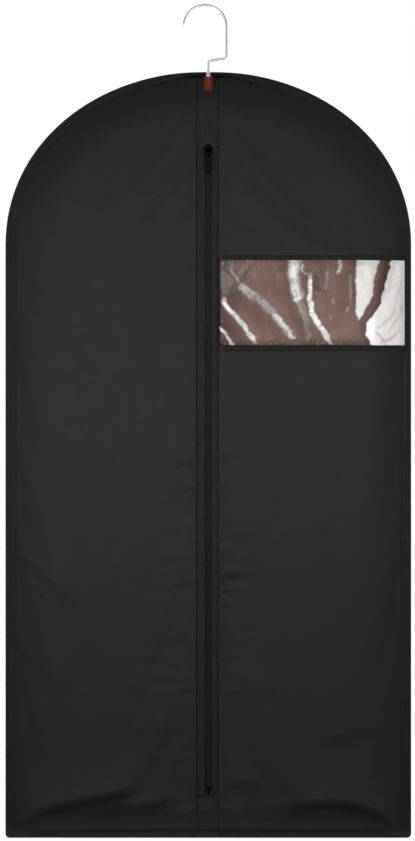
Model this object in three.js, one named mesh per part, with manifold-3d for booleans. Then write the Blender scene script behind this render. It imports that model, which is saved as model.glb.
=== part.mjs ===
// A long suit cover on its hanger: an arched fabric envelope with a full-length zip, a clear window and a
// bound edge, on a wooden hanger whose swivelling steel hook comes out of a notch at the top of the front.
// Millimetres. +Z is up, +X is to the right of someone who faces the front, and the front faces -Y.
// The origin is where a rail's crest meets the hook, straight above the hook's stem.
import * as THREE from "three";
import { mergeVertices } from "three/addons/utils/BufferGeometryUtils.js";
import Module from "manifold-3d";

const wasm = await Module();
wasm.setup();

// ---- Driving dimensions ----
const BAG_WIDTH = 600;
const ARCH_RISE = 257; // from the top of the straight sides to the crown
const SIDE_HEIGHT = 876; // the straight sides
const ARCH_POWER = 2.06; // 2 would be an ellipse
const BAG_TOP = -96; // the crown of the bag, under the rail
const BULGE = 26; // how far each face stands off the seam's plane
const SIDE_RUN = 4.5; // the faces reach full bulge 1/4.5 of the way in from the sides and the crown
const BOTTOM_RUN = 36; // and this far above the bottom edge
const FABRIC = 1; // thickness of the fabric walls
const FILM = 0.8;
const GAP = 0.3; // between pieces that touch
const BINDING_WIDTH = 10;
const NECK_FRONT = 9; // how far the front and the back stand off at the hanger's neck
const NECK_BACK = 9.2;
const NECK_SPREAD = 34; // over this much width
const NECK_DEPTH = 45; // and this much height
const BINDING_THICKNESS = 3;

const FOLD_LEFT = -17; // the front panels' folded edges beside the zip
const FOLD_RIGHT = 14;
const TAPE_DEPTH = 1.5; // the zip tapes lie this far behind the front panels
const TAPE_LAP = 5; // and run this far under them
const TAPE_THICKNESS = 0.8;
const ZIP_TOP = -205;
const ZIP_BOTTOM = -1152; // where the coils end
const TAPE_BOTTOM = -1166; // and the tapes
const COIL_INNER = 0.8; // half of the slot between the coils, which the slider's post runs in
const COIL_WIDTH = 3.3;
const COIL_THICKNESS = 2.2;

const WINDOW_TOP = -376;
const WINDOW_BOTTOM = -501;
const NOTCH_WIDTH = 13;
const NOTCH_BOTTOM = -132;

const WIRE_RADIUS = 1.9;
const HOOK_RADIUS = 31.8; // of the crook's centreline
const HOOK_SHANK_X = 26.8; // the upright shank, right of the stem
const CRANK_Z = -80; // where the crank leaves the stem
const CRANK_SLOPE = 0.15; // radians, rising towards the shank
const STEM_BEND = 5.5; // the radii of the crank's two bends
const SHANK_BEND = 4;
const STEM_END = -157;

const HANGER_THICKNESS = 12;
const HANGER_CROWN = -104;
const HANGER_UNDERSIDE = -160;
const HANGER_HALF_SPAN = 215;
const LEG_WIDTH = 21; // of the turned-down ends
const BAR_Z = -226;
const BAR_RADIUS = 6;
const SPIGOT_RADIUS = 4.5;
const SPIGOT_END = 203; // from the middle
const SCREW_RADIUS = 1.5;
const SCREW_HEAD_RADIUS = 3.4;
const SCREW_TIP = 193;
const SCREW_SEAT = 212.8;
const NUT_TOP = -150.4;
const NUT_RADIUS = 4.6;
const NUT_BORE = 5.4;

const SLIDER_TOP = -210.3;
const SLIDER_LENGTH = 14;
const SLIDER_HALF_WIDTH = 6.3;
const PULL_Z = -219; // the pull tab's pivot
const PULL_LENGTH = 31;

// ---- Derived dimensions ----
const HALF = BAG_WIDTH / 2;
const SPRING = BAG_TOP - ARCH_RISE; // where the sides turn into the arch
const BAG_BOTTOM = SPRING - SIDE_HEIGHT;
const INNER_HALF = HALF - BINDING_WIDTH - GAP;
const INNER_RISE = ARCH_RISE - BINDING_WIDTH - GAP;
const INNER_BOTTOM = BAG_BOTTOM + BINDING_WIDTH + GAP;
const PANEL_EDGE = FABRIC / 2 + 0.2; // the two faces' mid-surfaces at the seam, either side of its plane
const FRONT_PLANE = -(PANEL_EDGE + BULGE);
const TAPE_PLANE = FRONT_PLANE + TAPE_DEPTH;
const COIL_FRONT = TAPE_PLANE - TAPE_THICKNESS / 2 - GAP - COIL_THICKNESS;

// ---- The bag's form ----
const easeOut = (t) => 1 - (1 - Math.min(Math.max(t, 0), 1)) ** 2;

// Height of an arch with these semi-axes above the springing line, at x.
function archHeight(x, half, rise) {
  const share = Math.min(Math.abs(x) / half, 1) ** ARCH_POWER;
  return rise * (1 - share) ** (1 / ARCH_POWER);
}

// How full the bag is at a point, from 0 along the bound edge to 1 over most of the face.
function fullness(x, z) {
  const up = Math.max(z - SPRING, 0) / INNER_RISE;
  const out = Math.abs(x) / INNER_HALF;
  const radial = (out ** ARCH_POWER + up ** ARCH_POWER) ** (1 / ARCH_POWER);
  return easeOut((1 - radial) * SIDE_RUN) * easeOut((z - INNER_BOTTOM) / BOTTOM_RUN);
}

// Round the hanger's neck both faces stand further out, and the seam passes behind it.
const neckSpread = (x) => Math.exp(-((x / NECK_SPREAD) ** 2));

function neckSwell(x, z) {
  const below = Math.min(Math.max((BAG_TOP - BINDING_WIDTH - z) / NECK_DEPTH, 0), 1);
  return neckSpread(x) * (1 - below) ** 2;
}

const frontY = (x, z) => -(PANEL_EDGE + BULGE * fullness(x, z) + NECK_FRONT * neckSwell(x, z));
const backY = (x, z) => PANEL_EDGE + BULGE * fullness(x, z) + NECK_BACK * neckSwell(x, z);
const placketY = (x, z) => frontY(x, z) + TAPE_DEPTH;

// ---- Geometry helpers ----

// A closed sheet on a grid of uCount by vCount cells. at(u, v) gives its mid-surface as [x, y, z] for u and v
// from 0 to 1, with u to the right and v up, and the thickness lies along Y.
function sheet(uCount, vCount, thickness, at) {
  const positions = [];
  const index = [];
  const columns = uCount + 1;
  const layer = columns * (vCount + 1);
  for (const side of [-1, 1]) {
    for (let j = 0; j <= vCount; j++) {
      for (let i = 0; i <= uCount; i++) {
        const [x, y, z] = at(i / uCount, j / vCount);
        positions.push(x, y + (side * thickness) / 2, z);
      }
    }
  }
  const quad = (a, b, c, d) => index.push(a, b, c, a, c, d);
  for (let j = 0; j < vCount; j++) {
    for (let i = 0; i < uCount; i++) {
      const a = j * columns + i;
      quad(a, a + 1, a + 1 + columns, a + columns);
      quad(layer + a, layer + a + columns, layer + a + 1 + columns, layer + a + 1);
    }
  }
  for (let i = 0; i < uCount; i++) {
    const top = vCount * columns + i;
    quad(i + 1, i, layer + i, layer + i + 1);
    quad(top, top + 1, layer + top + 1, layer + top);
  }
  for (let j = 0; j < vCount; j++) {
    const left = j * columns;
    const right = left + uCount;
    quad(left, left + columns, layer + left + columns, layer + left);
    quad(right + columns, right, layer + right, layer + right + columns);
  }
  const geometry = new THREE.BufferGeometry();
  geometry.setAttribute("position", new THREE.Float32BufferAttribute(positions, 3));
  geometry.setIndex(index);
  geometry.computeVertexNormals();
  return geometry;
}

// Columns from x0 to x1 that stand closer together towards the bag's sides.
function columnX(u, [x0, x1], half) {
  const a0 = Math.asin(THREE.MathUtils.clamp(x0 / half, -1, 1));
  const a1 = Math.asin(THREE.MathUtils.clamp(x1 / half, -1, 1));
  return half * Math.sin(THREE.MathUtils.lerp(a0, a1, u));
}

// Where the rows lie between a panel's foot (0) and head (1).
const evenRows = (v) => v;
const closeAtFoot = (v) => 1 - Math.cos((v * Math.PI) / 2);
const closeAtHead = (v) => Math.sin((v * Math.PI) / 2);
const closeAtBoth = (v) => (1 - Math.cos(v * Math.PI)) / 2;

// A sheet with straight borders, between two x and two z values.
function patch(uCount, vCount, thickness, span, [z0, z1], depth, rows = evenRows) {
  return sheet(uCount, vCount, thickness, (u, v) => {
    const x = columnX(u, span, INNER_HALF);
    const z = THREE.MathUtils.lerp(z0, z1, rows(v));
    return [x, depth(x, z), z];
  });
}

// A panel under the arch, inset from the bag's sides and crown: its columns run from z = foot up to the arch.
function archedPanel(uCount, vCount, thickness, span, foot, depth, rows, inset = 0, crownInset = 0) {
  const half = INNER_HALF - inset;
  const rise = INNER_RISE - crownInset;
  return sheet(uCount, vCount, thickness, (u, v) => {
    const x = columnX(u, span, half);
    const z = THREE.MathUtils.lerp(foot, SPRING + archHeight(x, half, rise), rows(v));
    return [x, depth(x, z), z];
  });
}

function solidOf(geometry) {
  const bare = geometry.clone();
  bare.deleteAttribute("normal");
  bare.deleteAttribute("uv");
  const merged = mergeVertices(bare, 1e-4);
  return new wasm.Manifold(
    new wasm.Mesh({
      numProp: 3,
      vertProperties: new Float32Array(merged.attributes.position.array),
      triVerts: new Uint32Array(merged.index.array),
    }),
  );
}

function geometryOf(solid) {
  const mesh = solid.getMesh();
  const geometry = new THREE.BufferGeometry();
  geometry.setAttribute("position", new THREE.BufferAttribute(mesh.vertProperties, 3));
  geometry.setIndex(new THREE.BufferAttribute(mesh.triVerts, 1));
  geometry.computeVertexNormals();
  return geometry;
}

const union = (parts) => parts.map(solidOf).reduce((left, right) => left.add(right));
const join = (...parts) => geometryOf(union(parts));
const cut = (body, ...tools) => geometryOf(solidOf(body).subtract(union(tools)));
const common = (a, b) => geometryOf(solidOf(a).intersect(solidOf(b)));

// A box from its two corners.
function box([x0, x1], [y0, y1], [z0, z1]) {
  const geometry = new THREE.BoxGeometry(x1 - x0, y1 - y0, z1 - z0);
  return geometry.translate((x0 + x1) / 2, (y0 + y1) / 2, (z0 + z1) / 2);
}

// A shape drawn with x across and z up, extruded along Y from y0 to y1.
function slab(shape, y0, y1, curveSegments = 8) {
  const geometry = new THREE.ExtrudeGeometry(shape, { depth: y1 - y0, bevelEnabled: false, curveSegments });
  return geometry.rotateX(Math.PI / 2).translate(0, y1, 0);
}

// A body of revolution about the Z axis through x = y = 0, from [radius, z] points going up.
function turned(profile, segments = 24) {
  const points = profile.map(([radius, z]) => new THREE.Vector2(radius, z));
  return new THREE.LatheGeometry(points, segments).rotateX(Math.PI / 2);
}

// A cylinder along X.
function rod(radius, x0, x1, z, segments = 20) {
  const geometry = new THREE.CylinderGeometry(radius, radius, x1 - x0, segments);
  return geometry.rotateZ(Math.PI / 2).translate((x0 + x1) / 2, 0, z);
}

const bag = new THREE.Group();

function add(name, geometry, colour, roughness, metalness = 0) {
  const material = new THREE.MeshStandardMaterial({ color: colour, roughness, metalness });
  const mesh = new THREE.Mesh(geometry, material);
  mesh.name = name;
  bag.add(mesh);
}

const addFabric = (name, geometry) => add(name, geometry, 0x1f1f20, 0.75);
const addTape = (name, geometry) => add(name, geometry, 0x18181a, 0.8);
const addSteel = (name, geometry) => add(name, geometry, 0xb9b8b4, 0.3, 1);
const addWood = (name, geometry) => add(name, geometry, 0x7a2f14, 0.4);
const addZipMetal = (name, geometry) => add(name, geometry, 0x0c0c0d, 0.35, 0.6);

// ---- Hook: one bent wire, with a retaining nut under the hanger ----

function arc(centreX, centreZ, radius, from, to) {
  const curve = new THREE.Curve();
  curve.getPoint = (t, target = new THREE.Vector3()) => {
    const angle = THREE.MathUtils.lerp(from, to, t);
    return target.set(centreX + radius * Math.cos(angle), 0, centreZ + radius * Math.sin(angle));
  };
  return curve;
}

const inPlane = (x, z) => new THREE.Vector3(x, 0, z);
const line = (x0, z0, x1, z1) => new THREE.LineCurve3(inPlane(x0, z0), inPlane(x1, z1));

function hookPath() {
  const crookX = HOOK_SHANK_X - HOOK_RADIUS;
  const crookZ = WIRE_RADIUS - HOOK_RADIUS;
  const [cos, sin] = [Math.cos(CRANK_SLOPE), Math.sin(CRANK_SLOPE)];
  const shankBendX = HOOK_SHANK_X - SHANK_BEND;
  const crankEndX = shankBendX + SHANK_BEND * sin;
  const crankStartX = STEM_BEND * (1 - sin);
  const crankEndZ = CRANK_Z + (crankEndX - crankStartX) * Math.tan(CRANK_SLOPE);
  const stemBendZ = CRANK_Z - STEM_BEND * cos;
  const shankBendZ = crankEndZ + SHANK_BEND * cos;
  const path = new THREE.CurvePath();
  path.add(line(0, STEM_END, 0, stemBendZ));
  path.add(arc(STEM_BEND, stemBendZ, STEM_BEND, Math.PI, Math.PI / 2 + CRANK_SLOPE));
  path.add(line(crankStartX, CRANK_Z, crankEndX, crankEndZ));
  path.add(arc(shankBendX, shankBendZ, SHANK_BEND, CRANK_SLOPE - Math.PI / 2, 0));
  path.add(line(HOOK_SHANK_X, shankBendZ, HOOK_SHANK_X, crookZ));
  path.add(arc(crookX, crookZ, HOOK_RADIUS, 0, Math.PI * 0.975));
  return path;
}

function wireSection(sides) {
  const shape = new THREE.Shape();
  for (let i = 0; i < sides; i++) {
    const angle = (2 * Math.PI * i) / sides;
    const [x, y] = [WIRE_RADIUS * Math.cos(angle), WIRE_RADIUS * Math.sin(angle)];
    if (i) shape.lineTo(x, y);
    else shape.moveTo(x, y);
  }
  return shape;
}

addSteel("hook", new THREE.ExtrudeGeometry(wireSection(12), { steps: 96, extrudePath: hookPath() }));

const nutHole = WIRE_RADIUS + GAP;
const nutFoot = NUT_TOP - 5;
const nutProfile = [
  [nutHole, nutFoot],
  [NUT_RADIUS, nutFoot],
  [NUT_RADIUS, NUT_TOP],
  [nutHole, NUT_TOP],
  [nutHole, nutFoot],
];
addSteel("hook_nut", turned(nutProfile, 6));

// ---- Ferrule: the plated collar on the hanger's crown, which the stem turns in ----
const STEM_BORE = WIRE_RADIUS + 0.4;
const FERRULE_FOOT = HANGER_CROWN + GAP;
const FERRULE_TOP = BAG_TOP - 0.5;
const ferruleProfile = [
  [STEM_BORE, FERRULE_FOOT],
  [4, FERRULE_FOOT],
  [4, FERRULE_FOOT + 0.8],
  [2.9, FERRULE_TOP],
  [STEM_BORE, FERRULE_TOP],
  [STEM_BORE, FERRULE_FOOT],
];
addSteel("ferrule", turned(ferruleProfile));

// ---- Wooden hanger: arched shoulders with turned-down ends that hold the trouser bar ----

// The right half of the outline, from the crown's middle out to the end and back to the underside's middle.
function hangerHalf() {
  const end = HANGER_HALF_SPAN;
  const inner = end - LEG_WIDTH;
  const foot = BAR_Z - 14;
  const path = new THREE.Path();
  path.moveTo(0, HANGER_CROWN);
  path.lineTo(5, HANGER_CROWN);
  path.quadraticCurveTo(13, HANGER_CROWN, 24, HANGER_CROWN - 14);
  path.bezierCurveTo(70, HANGER_CROWN - 28, 150, HANGER_CROWN - 48, end - 8, HANGER_CROWN - 92);
  path.quadraticCurveTo(end, HANGER_CROWN - 96, end, HANGER_CROWN - 104);
  path.lineTo(end, foot + 6);
  path.quadraticCurveTo(end, foot, end - 6, foot);
  path.lineTo(inner + 4, foot);
  path.quadraticCurveTo(inner, foot, inner, foot + 5);
  path.lineTo(inner, BAR_Z + 12);
  path.quadraticCurveTo(130, HANGER_UNDERSIDE - 12, 40, HANGER_UNDERSIDE);
  path.lineTo(0, HANGER_UNDERSIDE);
  return path.getPoints(7);
}

function hangerOutline() {
  const right = hangerHalf();
  const left = right.slice(1, -1).map((point) => new THREE.Vector2(-point.x, point.y));
  return new THREE.Shape([...right, ...left.reverse()]);
}

// A cylinder along X on the side of the hanger that side gives, between two distances from the middle.
function sideRod(side, radius, near, far, segments = 16) {
  return rod(radius, Math.min(side * near, side * far), Math.max(side * near, side * far), BAR_Z, segments);
}

function hangerBody() {
  const ROUNDING = 2.5;
  const blank = new THREE.ExtrudeGeometry(hangerOutline(), {
    depth: HANGER_THICKNESS - 2 * ROUNDING,
    bevelThickness: ROUNDING,
    bevelSize: ROUNDING,
    bevelOffset: -ROUNDING,
    bevelSegments: 2,
  });
  blank.rotateX(Math.PI / 2).translate(0, HANGER_THICKNESS / 2 - ROUNDING, 0);
  const below = HANGER_UNDERSIDE - 10;
  const above = HANGER_CROWN + 5;
  const nutTop = NUT_TOP + 0.4;
  const stemBore = turned([[0, below], [STEM_BORE, below], [STEM_BORE, above], [0, above]]);
  const nutBore = turned([[0, below], [NUT_BORE, below], [NUT_BORE, nutTop], [0, nutTop]]);
  const outside = HANGER_HALF_SPAN + 5;
  const endBores = [-1, 1].flatMap((side) => [
    sideRod(side, SPIGOT_RADIUS + GAP, HANGER_HALF_SPAN - 32, SPIGOT_END + 0.5, 20),
    sideRod(side, SCREW_RADIUS + GAP, SPIGOT_END - 1, outside),
    sideRod(side, SCREW_HEAD_RADIUS + GAP, SCREW_SEAT, outside),
  ]);
  return cut(blank, stemBore, nutBore, ...endBores);
}

addWood("hanger_body", hangerBody());

// The bar's ends are turned down to spigots that sit in the hanger's ends.
function trouserBar() {
  const shoulder = HANGER_HALF_SPAN - LEG_WIDTH - GAP;
  const full = rod(BAR_RADIUS, -shoulder, shoulder, BAR_Z);
  const spigots = rod(SPIGOT_RADIUS, -SPIGOT_END, SPIGOT_END, BAR_Z);
  const screwHoles = [-1, 1].map((side) => sideRod(side, SCREW_RADIUS + GAP, SCREW_TIP - 3, SPIGOT_END + 5));
  return cut(join(full, spigots), ...screwHoles);
}

addWood("trouser_bar", trouserBar());

// A countersunk screw through each end of the hanger into the bar.
for (const [name, side] of [["bar_screw_left", -1], ["bar_screw_right", 1]]) {
  const shankEnd = SCREW_SEAT + GAP;
  const screw = turned([
    [0, SCREW_TIP],
    [SCREW_RADIUS, SCREW_TIP],
    [SCREW_RADIUS, shankEnd],
    [SCREW_HEAD_RADIUS, shankEnd + 1.6],
    [0, shankEnd + 1.6],
  ]);
  addSteel(name, screw.rotateY((side * Math.PI) / 2).translate(0, 0, BAR_Z));
}

// ---- Fabric walls ----
const fullSpan = [-INNER_HALF, INNER_HALF];
addFabric("back_panel", archedPanel(22, 18, FABRIC, fullSpan, INNER_BOTTOM, backY, closeAtBoth));

const LINING_INSET = 16; // from the sides and the bottom
const LINING_CROWN_INSET = 44;
const LINING_DEPTH = 5; // in front of the back panel
const liningY = (x, z) => backY(x, z) - LINING_DEPTH;
const liningSpan = [LINING_INSET - INNER_HALF, INNER_HALF - LINING_INSET];
const liningFoot = INNER_BOTTOM + LINING_INSET;
add(
  "back_lining",
  archedPanel(22, 18, FABRIC, liningSpan, liningFoot, liningY, closeAtBoth, LINING_INSET, LINING_CROWN_INSET),
  0x6f5349,
  0.6,
);

const leftSpan = [-INNER_HALF, FOLD_LEFT];
const rightSpan = [FOLD_RIGHT, INNER_HALF];
addFabric("front_left_panel", archedPanel(12, 18, FABRIC, leftSpan, INNER_BOTTOM, frontY, closeAtBoth));
addFabric(
  "front_right_upper_panel",
  archedPanel(12, 9, FABRIC, rightSpan, WINDOW_TOP + GAP, frontY, closeAtHead),
);
addFabric(
  "front_right_lower_panel",
  patch(12, 10, FABRIC, rightSpan, [INNER_BOTTOM, WINDOW_BOTTOM - GAP], frontY, closeAtFoot),
);

// ---- Window: clear film, with a bound strip along its top, bottom and zip side ----
add("window_film", patch(12, 3, FILM, rightSpan, [WINDOW_BOTTOM, WINDOW_TOP], frontY), 0x9a8f8a, 0.1);

const STRIP_THICKNESS = 1;
const stripY = (x, z) => frontY(x, z) - FABRIC / 2 - GAP - STRIP_THICKNESS / 2;
const topStrip = [WINDOW_TOP, WINDOW_TOP + 7];
const bottomStrip = [WINDOW_BOTTOM - 9, WINDOW_BOTTOM];
const sideStrip = [WINDOW_BOTTOM + GAP, WINDOW_TOP - GAP];
addTape("window_strip_top", patch(12, 1, STRIP_THICKNESS, rightSpan, topStrip, stripY));
addTape("window_strip_bottom", patch(12, 1, STRIP_THICKNESS, rightSpan, bottomStrip, stripY));
addTape("window_strip_left", patch(1, 2, STRIP_THICKNESS, [FOLD_RIGHT, FOLD_RIGHT + 3], sideStrip, stripY));

// ---- Neck panel: the fabric strip above the zip, notched for the hook ----

// A U-shaped outline round the notch, grown outwards by margin.
function notchOutline(margin) {
  const half = NOTCH_WIDTH / 2 + margin;
  const foot = NOTCH_BOTTOM - margin;
  const corner = 3 + margin;
  const shape = new THREE.Shape();
  shape.moveTo(-half, BAG_TOP);
  shape.lineTo(-half, foot + corner);
  shape.quadraticCurveTo(-half, foot, -half + corner, foot);
  shape.lineTo(half - corner, foot);
  shape.quadraticCurveTo(half, foot, half, foot + corner);
  shape.lineTo(half, BAG_TOP);
  return shape;
}

const STRIP_EDGES = [FOLD_LEFT + GAP, FOLD_RIGHT - GAP];
const neckStrip = archedPanel(8, 12, FABRIC, STRIP_EDGES, ZIP_TOP + GAP, placketY, closeAtHead);
addFabric("neck_panel", cut(neckStrip, slab(notchOutline(0), -40, 20)));

// Foot panel: the strip between the folds under the zip's end, down to the bottom binding.
const FOOT_BLEND = 30; // over this height it comes forward level with the front panels
const footY = (x, z) => frontY(x, z) + TAPE_DEPTH * Math.min((z - INNER_BOTTOM) / FOOT_BLEND, 1);
addFabric("foot_panel", patch(2, 8, FABRIC, STRIP_EDGES, [INNER_BOTTOM, TAPE_BOTTOM - GAP], footY));

const NOTCH_TAPE = 2;
const notchTapeY = (x, z) => placketY(x, z) - FABRIC / 2 - GAP - 0.5;
const notchTapeRun = [NOTCH_BOTTOM - 4, BAG_TOP - BINDING_WIDTH - 1.5];
const notchTapeSheet = patch(10, 12, 1, [-9, 9], notchTapeRun, notchTapeY);
const notchRing = cut(slab(notchOutline(NOTCH_TAPE), -40, 20), slab(notchOutline(0), -50, 30));
addTape("notch_binding", common(notchTapeSheet, notchRing));

// ---- Edge binding: one tape along each side, one along the bottom and one over the arch ----
const sideRuns = [BAG_BOTTOM + BINDING_WIDTH + GAP, SPRING - GAP];
const thickness = [-BINDING_THICKNESS / 2, BINDING_THICKNESS / 2];
addTape("edge_binding_left", box([-HALF, -HALF + BINDING_WIDTH], thickness, sideRuns));
addTape("edge_binding_right", box([HALF - BINDING_WIDTH, HALF], thickness, sideRuns));
addTape("edge_binding_bottom", box([-HALF, HALF], thickness, [BAG_BOTTOM, BAG_BOTTOM + BINDING_WIDTH]));

// Over the crown the tape passes behind the hanger's neck.
function archBinding() {
  return sheet(64, 1, BINDING_THICKNESS, (u, v) => {
    const half = HALF - BINDING_WIDTH * (1 - v);
    const rise = ARCH_RISE - BINDING_WIDTH * (1 - v);
    const x = half * Math.sin((u - 0.5) * Math.PI);
    const y = NECK_BACK * neckSpread(x);
    return [x, y, SPRING + archHeight(x, half, rise)];
  });
}

addTape("edge_binding_top", archBinding());

// ---- Zip: two tapes, two coils and their stops ----

const TAPE_INNER = COIL_INNER + 0.1;
const tapeDepth = [TAPE_PLANE - TAPE_THICKNESS / 2, TAPE_PLANE + TAPE_THICKNESS / 2];
const tapeRun = [TAPE_BOTTOM, ZIP_TOP];
addTape("zip_tape_left", box([FOLD_LEFT - TAPE_LAP, -TAPE_INNER], tapeDepth, tapeRun));
addTape("zip_tape_right", box([TAPE_INNER, FOLD_RIGHT + TAPE_LAP], tapeDepth, tapeRun));

const coilDepth = [COIL_FRONT, COIL_FRONT + COIL_THICKNESS];
const coilOuter = COIL_INNER + COIL_WIDTH;
addTape("zip_coil_left", box([-coilOuter, -COIL_INNER], coilDepth, [ZIP_BOTTOM, SLIDER_TOP + 0.5]));
addTape("zip_coil_right", box([COIL_INNER, coilOuter], coilDepth, [ZIP_BOTTOM, SLIDER_TOP + 0.5]));
addZipMetal("top_stop_left", box([-coilOuter, -COIL_INNER], coilDepth, [SLIDER_TOP + 0.8, SLIDER_TOP + 4.8]));
addZipMetal("top_stop_right", box([COIL_INNER, coilOuter], coilDepth, [SLIDER_TOP + 0.8, SLIDER_TOP + 4.8]));
addZipMetal("bottom_stop", box([-coilOuter, coilOuter], coilDepth, [ZIP_BOTTOM - 4.5, ZIP_BOTTOM - GAP]));

// ---- Slider: front and back plates on a post, a bail, and the pull tab ----
const PLATE_THICKNESS = 1.6;
const RUNNING = 0.4; // clearance round the coils and tapes
const PLATE_BACK = COIL_FRONT - RUNNING;
const PLATE_FRONT = PLATE_BACK - PLATE_THICKNESS;
const sliderSpan = [SLIDER_TOP - SLIDER_LENGTH, SLIDER_TOP];

function sliderOutline() {
  const shape = new THREE.Shape();
  const half = SLIDER_HALF_WIDTH;
  const [foot, top] = sliderSpan;
  shape.moveTo(-half + 1.6, foot);
  shape.lineTo(half - 1.6, foot);
  shape.quadraticCurveTo(half - 1.2, foot + 5, half, foot + 8);
  shape.lineTo(half, top - 2);
  shape.quadraticCurveTo(half, top, half - 2, top);
  shape.lineTo(-half + 2, top);
  shape.quadraticCurveTo(-half, top, -half, top - 2);
  shape.lineTo(-half, foot + 8);
  shape.quadraticCurveTo(-half + 1.2, foot + 5, -half + 1.6, foot);
  return shape;
}

function sliderBody() {
  const tapeFront = TAPE_PLANE - TAPE_THICKNESS / 2;
  const tapeBack = TAPE_PLANE + TAPE_THICKNESS / 2;
  const channelHalf = coilOuter + RUNNING;
  const backPlate = tapeBack + RUNNING;
  const casting = slab(sliderOutline(), PLATE_FRONT, backPlate + PLATE_THICKNESS, 4);
  const post = box([-0.5, 0.5], [PLATE_FRONT + 0.5, backPlate + 0.5], [SLIDER_TOP - 4, SLIDER_TOP - 0.5]);
  const channel = box([-channelHalf, channelHalf], [PLATE_BACK, backPlate], [-300, -200]);
  const tapeSlot = box([-20, 20], [tapeFront - RUNNING, backPlate], [-300, -200]);
  return join(cut(casting, channel, tapeSlot), post);
}

addZipMetal("slider_body", sliderBody());

const PULL_THICKNESS = 1.3;
const PULL_Y = PLATE_FRONT - 0.45 - PULL_THICKNESS / 2;
const BAIL_HALF_WIDTH = 1.2;
const BAIL_HALF_LENGTH = 2.4;

function bail() {
  const inner = PULL_Y - PULL_THICKNESS / 2 - 0.45;
  const span = [PULL_Z - BAIL_HALF_LENGTH, PULL_Z + BAIL_HALF_LENGTH];
  const arch = box([-BAIL_HALF_WIDTH, BAIL_HALF_WIDTH], [inner - 1, PLATE_FRONT - GAP], span);
  const eye = box([-3, 3], [inner, PLATE_FRONT + 1], [PULL_Z - 1.2, PULL_Z + 1.2]);
  const lintel = box([-3, 3], [PLATE_FRONT - GAP - 0.3, PLATE_FRONT + 1], [PULL_Z - 1.2, PULL_Z + 1.2]);
  return cut(arch, eye, lintel);
}

addZipMetal("slider_bail", bail());

function pullTab() {
  const shape = new THREE.Shape();
  const top = PULL_Z + PULL_THICKNESS / 2;
  const foot = PULL_Z - PULL_LENGTH;
  shape.moveTo(-3, top);
  shape.lineTo(-3.6, PULL_Z - 8);
  shape.lineTo(-3.8, foot + 3.5);
  shape.quadraticCurveTo(-3.8, foot, 0, foot);
  shape.quadraticCurveTo(3.8, foot, 3.8, foot + 3.5);
  shape.lineTo(3.6, PULL_Z - 8);
  shape.lineTo(3, top);
  shape.lineTo(-3, top);
  const eye = new THREE.Path();
  eye.moveTo(-1.8, PULL_Z - PULL_THICKNESS / 2);
  eye.lineTo(1.8, PULL_Z - PULL_THICKNESS / 2);
  eye.lineTo(1.8, PULL_Z - 5.5);
  eye.lineTo(-1.8, PULL_Z - 5.5);
  eye.lineTo(-1.8, PULL_Z - PULL_THICKNESS / 2);
  const cordHole = new THREE.Path();
  cordHole.absarc(0, foot + 4, 1.5, 0, 2 * Math.PI, true);
  shape.holes.push(eye, cordHole);
  return slab(shape, PULL_Y - PULL_THICKNESS / 2, PULL_Y + PULL_THICKNESS / 2, 5);
}

addZipMetal("pull_tab", pullTab());

export default bag;
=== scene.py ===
"""The looks of the garment bag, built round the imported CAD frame: cloth panels settled by a cloth
simulation, bound edges, a creased clear window, a coil zip with its slider, and a wooden hanger.
Lengths are millimetres until a mesh is made, and metres in Blender."""

import math

import bmesh
import bpy
import numpy as np
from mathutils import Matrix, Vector


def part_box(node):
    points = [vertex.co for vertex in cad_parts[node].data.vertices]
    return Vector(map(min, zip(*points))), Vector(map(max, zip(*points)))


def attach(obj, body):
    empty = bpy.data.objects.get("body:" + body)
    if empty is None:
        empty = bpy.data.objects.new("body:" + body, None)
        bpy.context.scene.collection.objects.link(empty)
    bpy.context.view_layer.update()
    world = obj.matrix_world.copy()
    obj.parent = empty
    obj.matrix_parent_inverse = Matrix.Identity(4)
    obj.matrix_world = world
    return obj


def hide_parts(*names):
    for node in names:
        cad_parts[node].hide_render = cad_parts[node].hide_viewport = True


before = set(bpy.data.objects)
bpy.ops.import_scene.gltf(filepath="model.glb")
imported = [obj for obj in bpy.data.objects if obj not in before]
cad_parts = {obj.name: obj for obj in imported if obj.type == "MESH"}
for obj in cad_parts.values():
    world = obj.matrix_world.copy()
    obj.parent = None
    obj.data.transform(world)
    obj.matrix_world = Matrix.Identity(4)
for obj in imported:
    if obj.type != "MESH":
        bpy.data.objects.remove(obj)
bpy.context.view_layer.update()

MM = 0.001
SEED = 7
scene = bpy.context.scene

# ---------------------------------------------------------------- places, read from the frame


def low(node):
    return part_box(node)[0] / MM


def high(node):
    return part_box(node)[1] / MM


HALF = high("edge_binding_right").x
CROWN = high("edge_binding_top").z
SPRING = low("edge_binding_top").z
BOTTOM = low("edge_binding_bottom").z
INNER_HALF = high("back_panel").x
INNER_RISE = high("back_panel").z - SPRING
INNER_BOTTOM = low("back_panel").z
FACE = -low("front_left_panel").y - 0.5  # how far the front's middle surface stands off
BACK_FACE = high("back_panel").y - 0.5
FOLD_LEFT = high("front_left_panel").x
FOLD_RIGHT = low("window_film").x
WINDOW_TOP = high("window_film").z
WINDOW_BOTTOM = low("window_film").z
ZIP_TOP = high("zip_tape_left").z
TAPE_BOTTOM = low("zip_tape_left").z
TAPE_FRONT = low("zip_tape_left").y
TAPE_BACK = high("zip_tape_left").y
COIL_TOP = high("zip_coil_left").z
COIL_BOTTOM = low("zip_coil_left").z
COIL_FRONT = low("zip_coil_left").y
COIL_OUTER = high("zip_coil_right").x
NOTCH_HALF = high("notch_binding").x - 1.1
NOTCH_BOTTOM = low("notch_binding").z + 2

# The cover's form, as the CAD model has it.
ARCH_POWER = 2.06
SIDE_RUN = 4.5
BOTTOM_RUN = 36
SEAM = 0.7
NECK_FRONT = 9
NECK_BACK = 9.2
NECK_SPREAD = 34
NECK_DEPTH = 45


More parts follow.
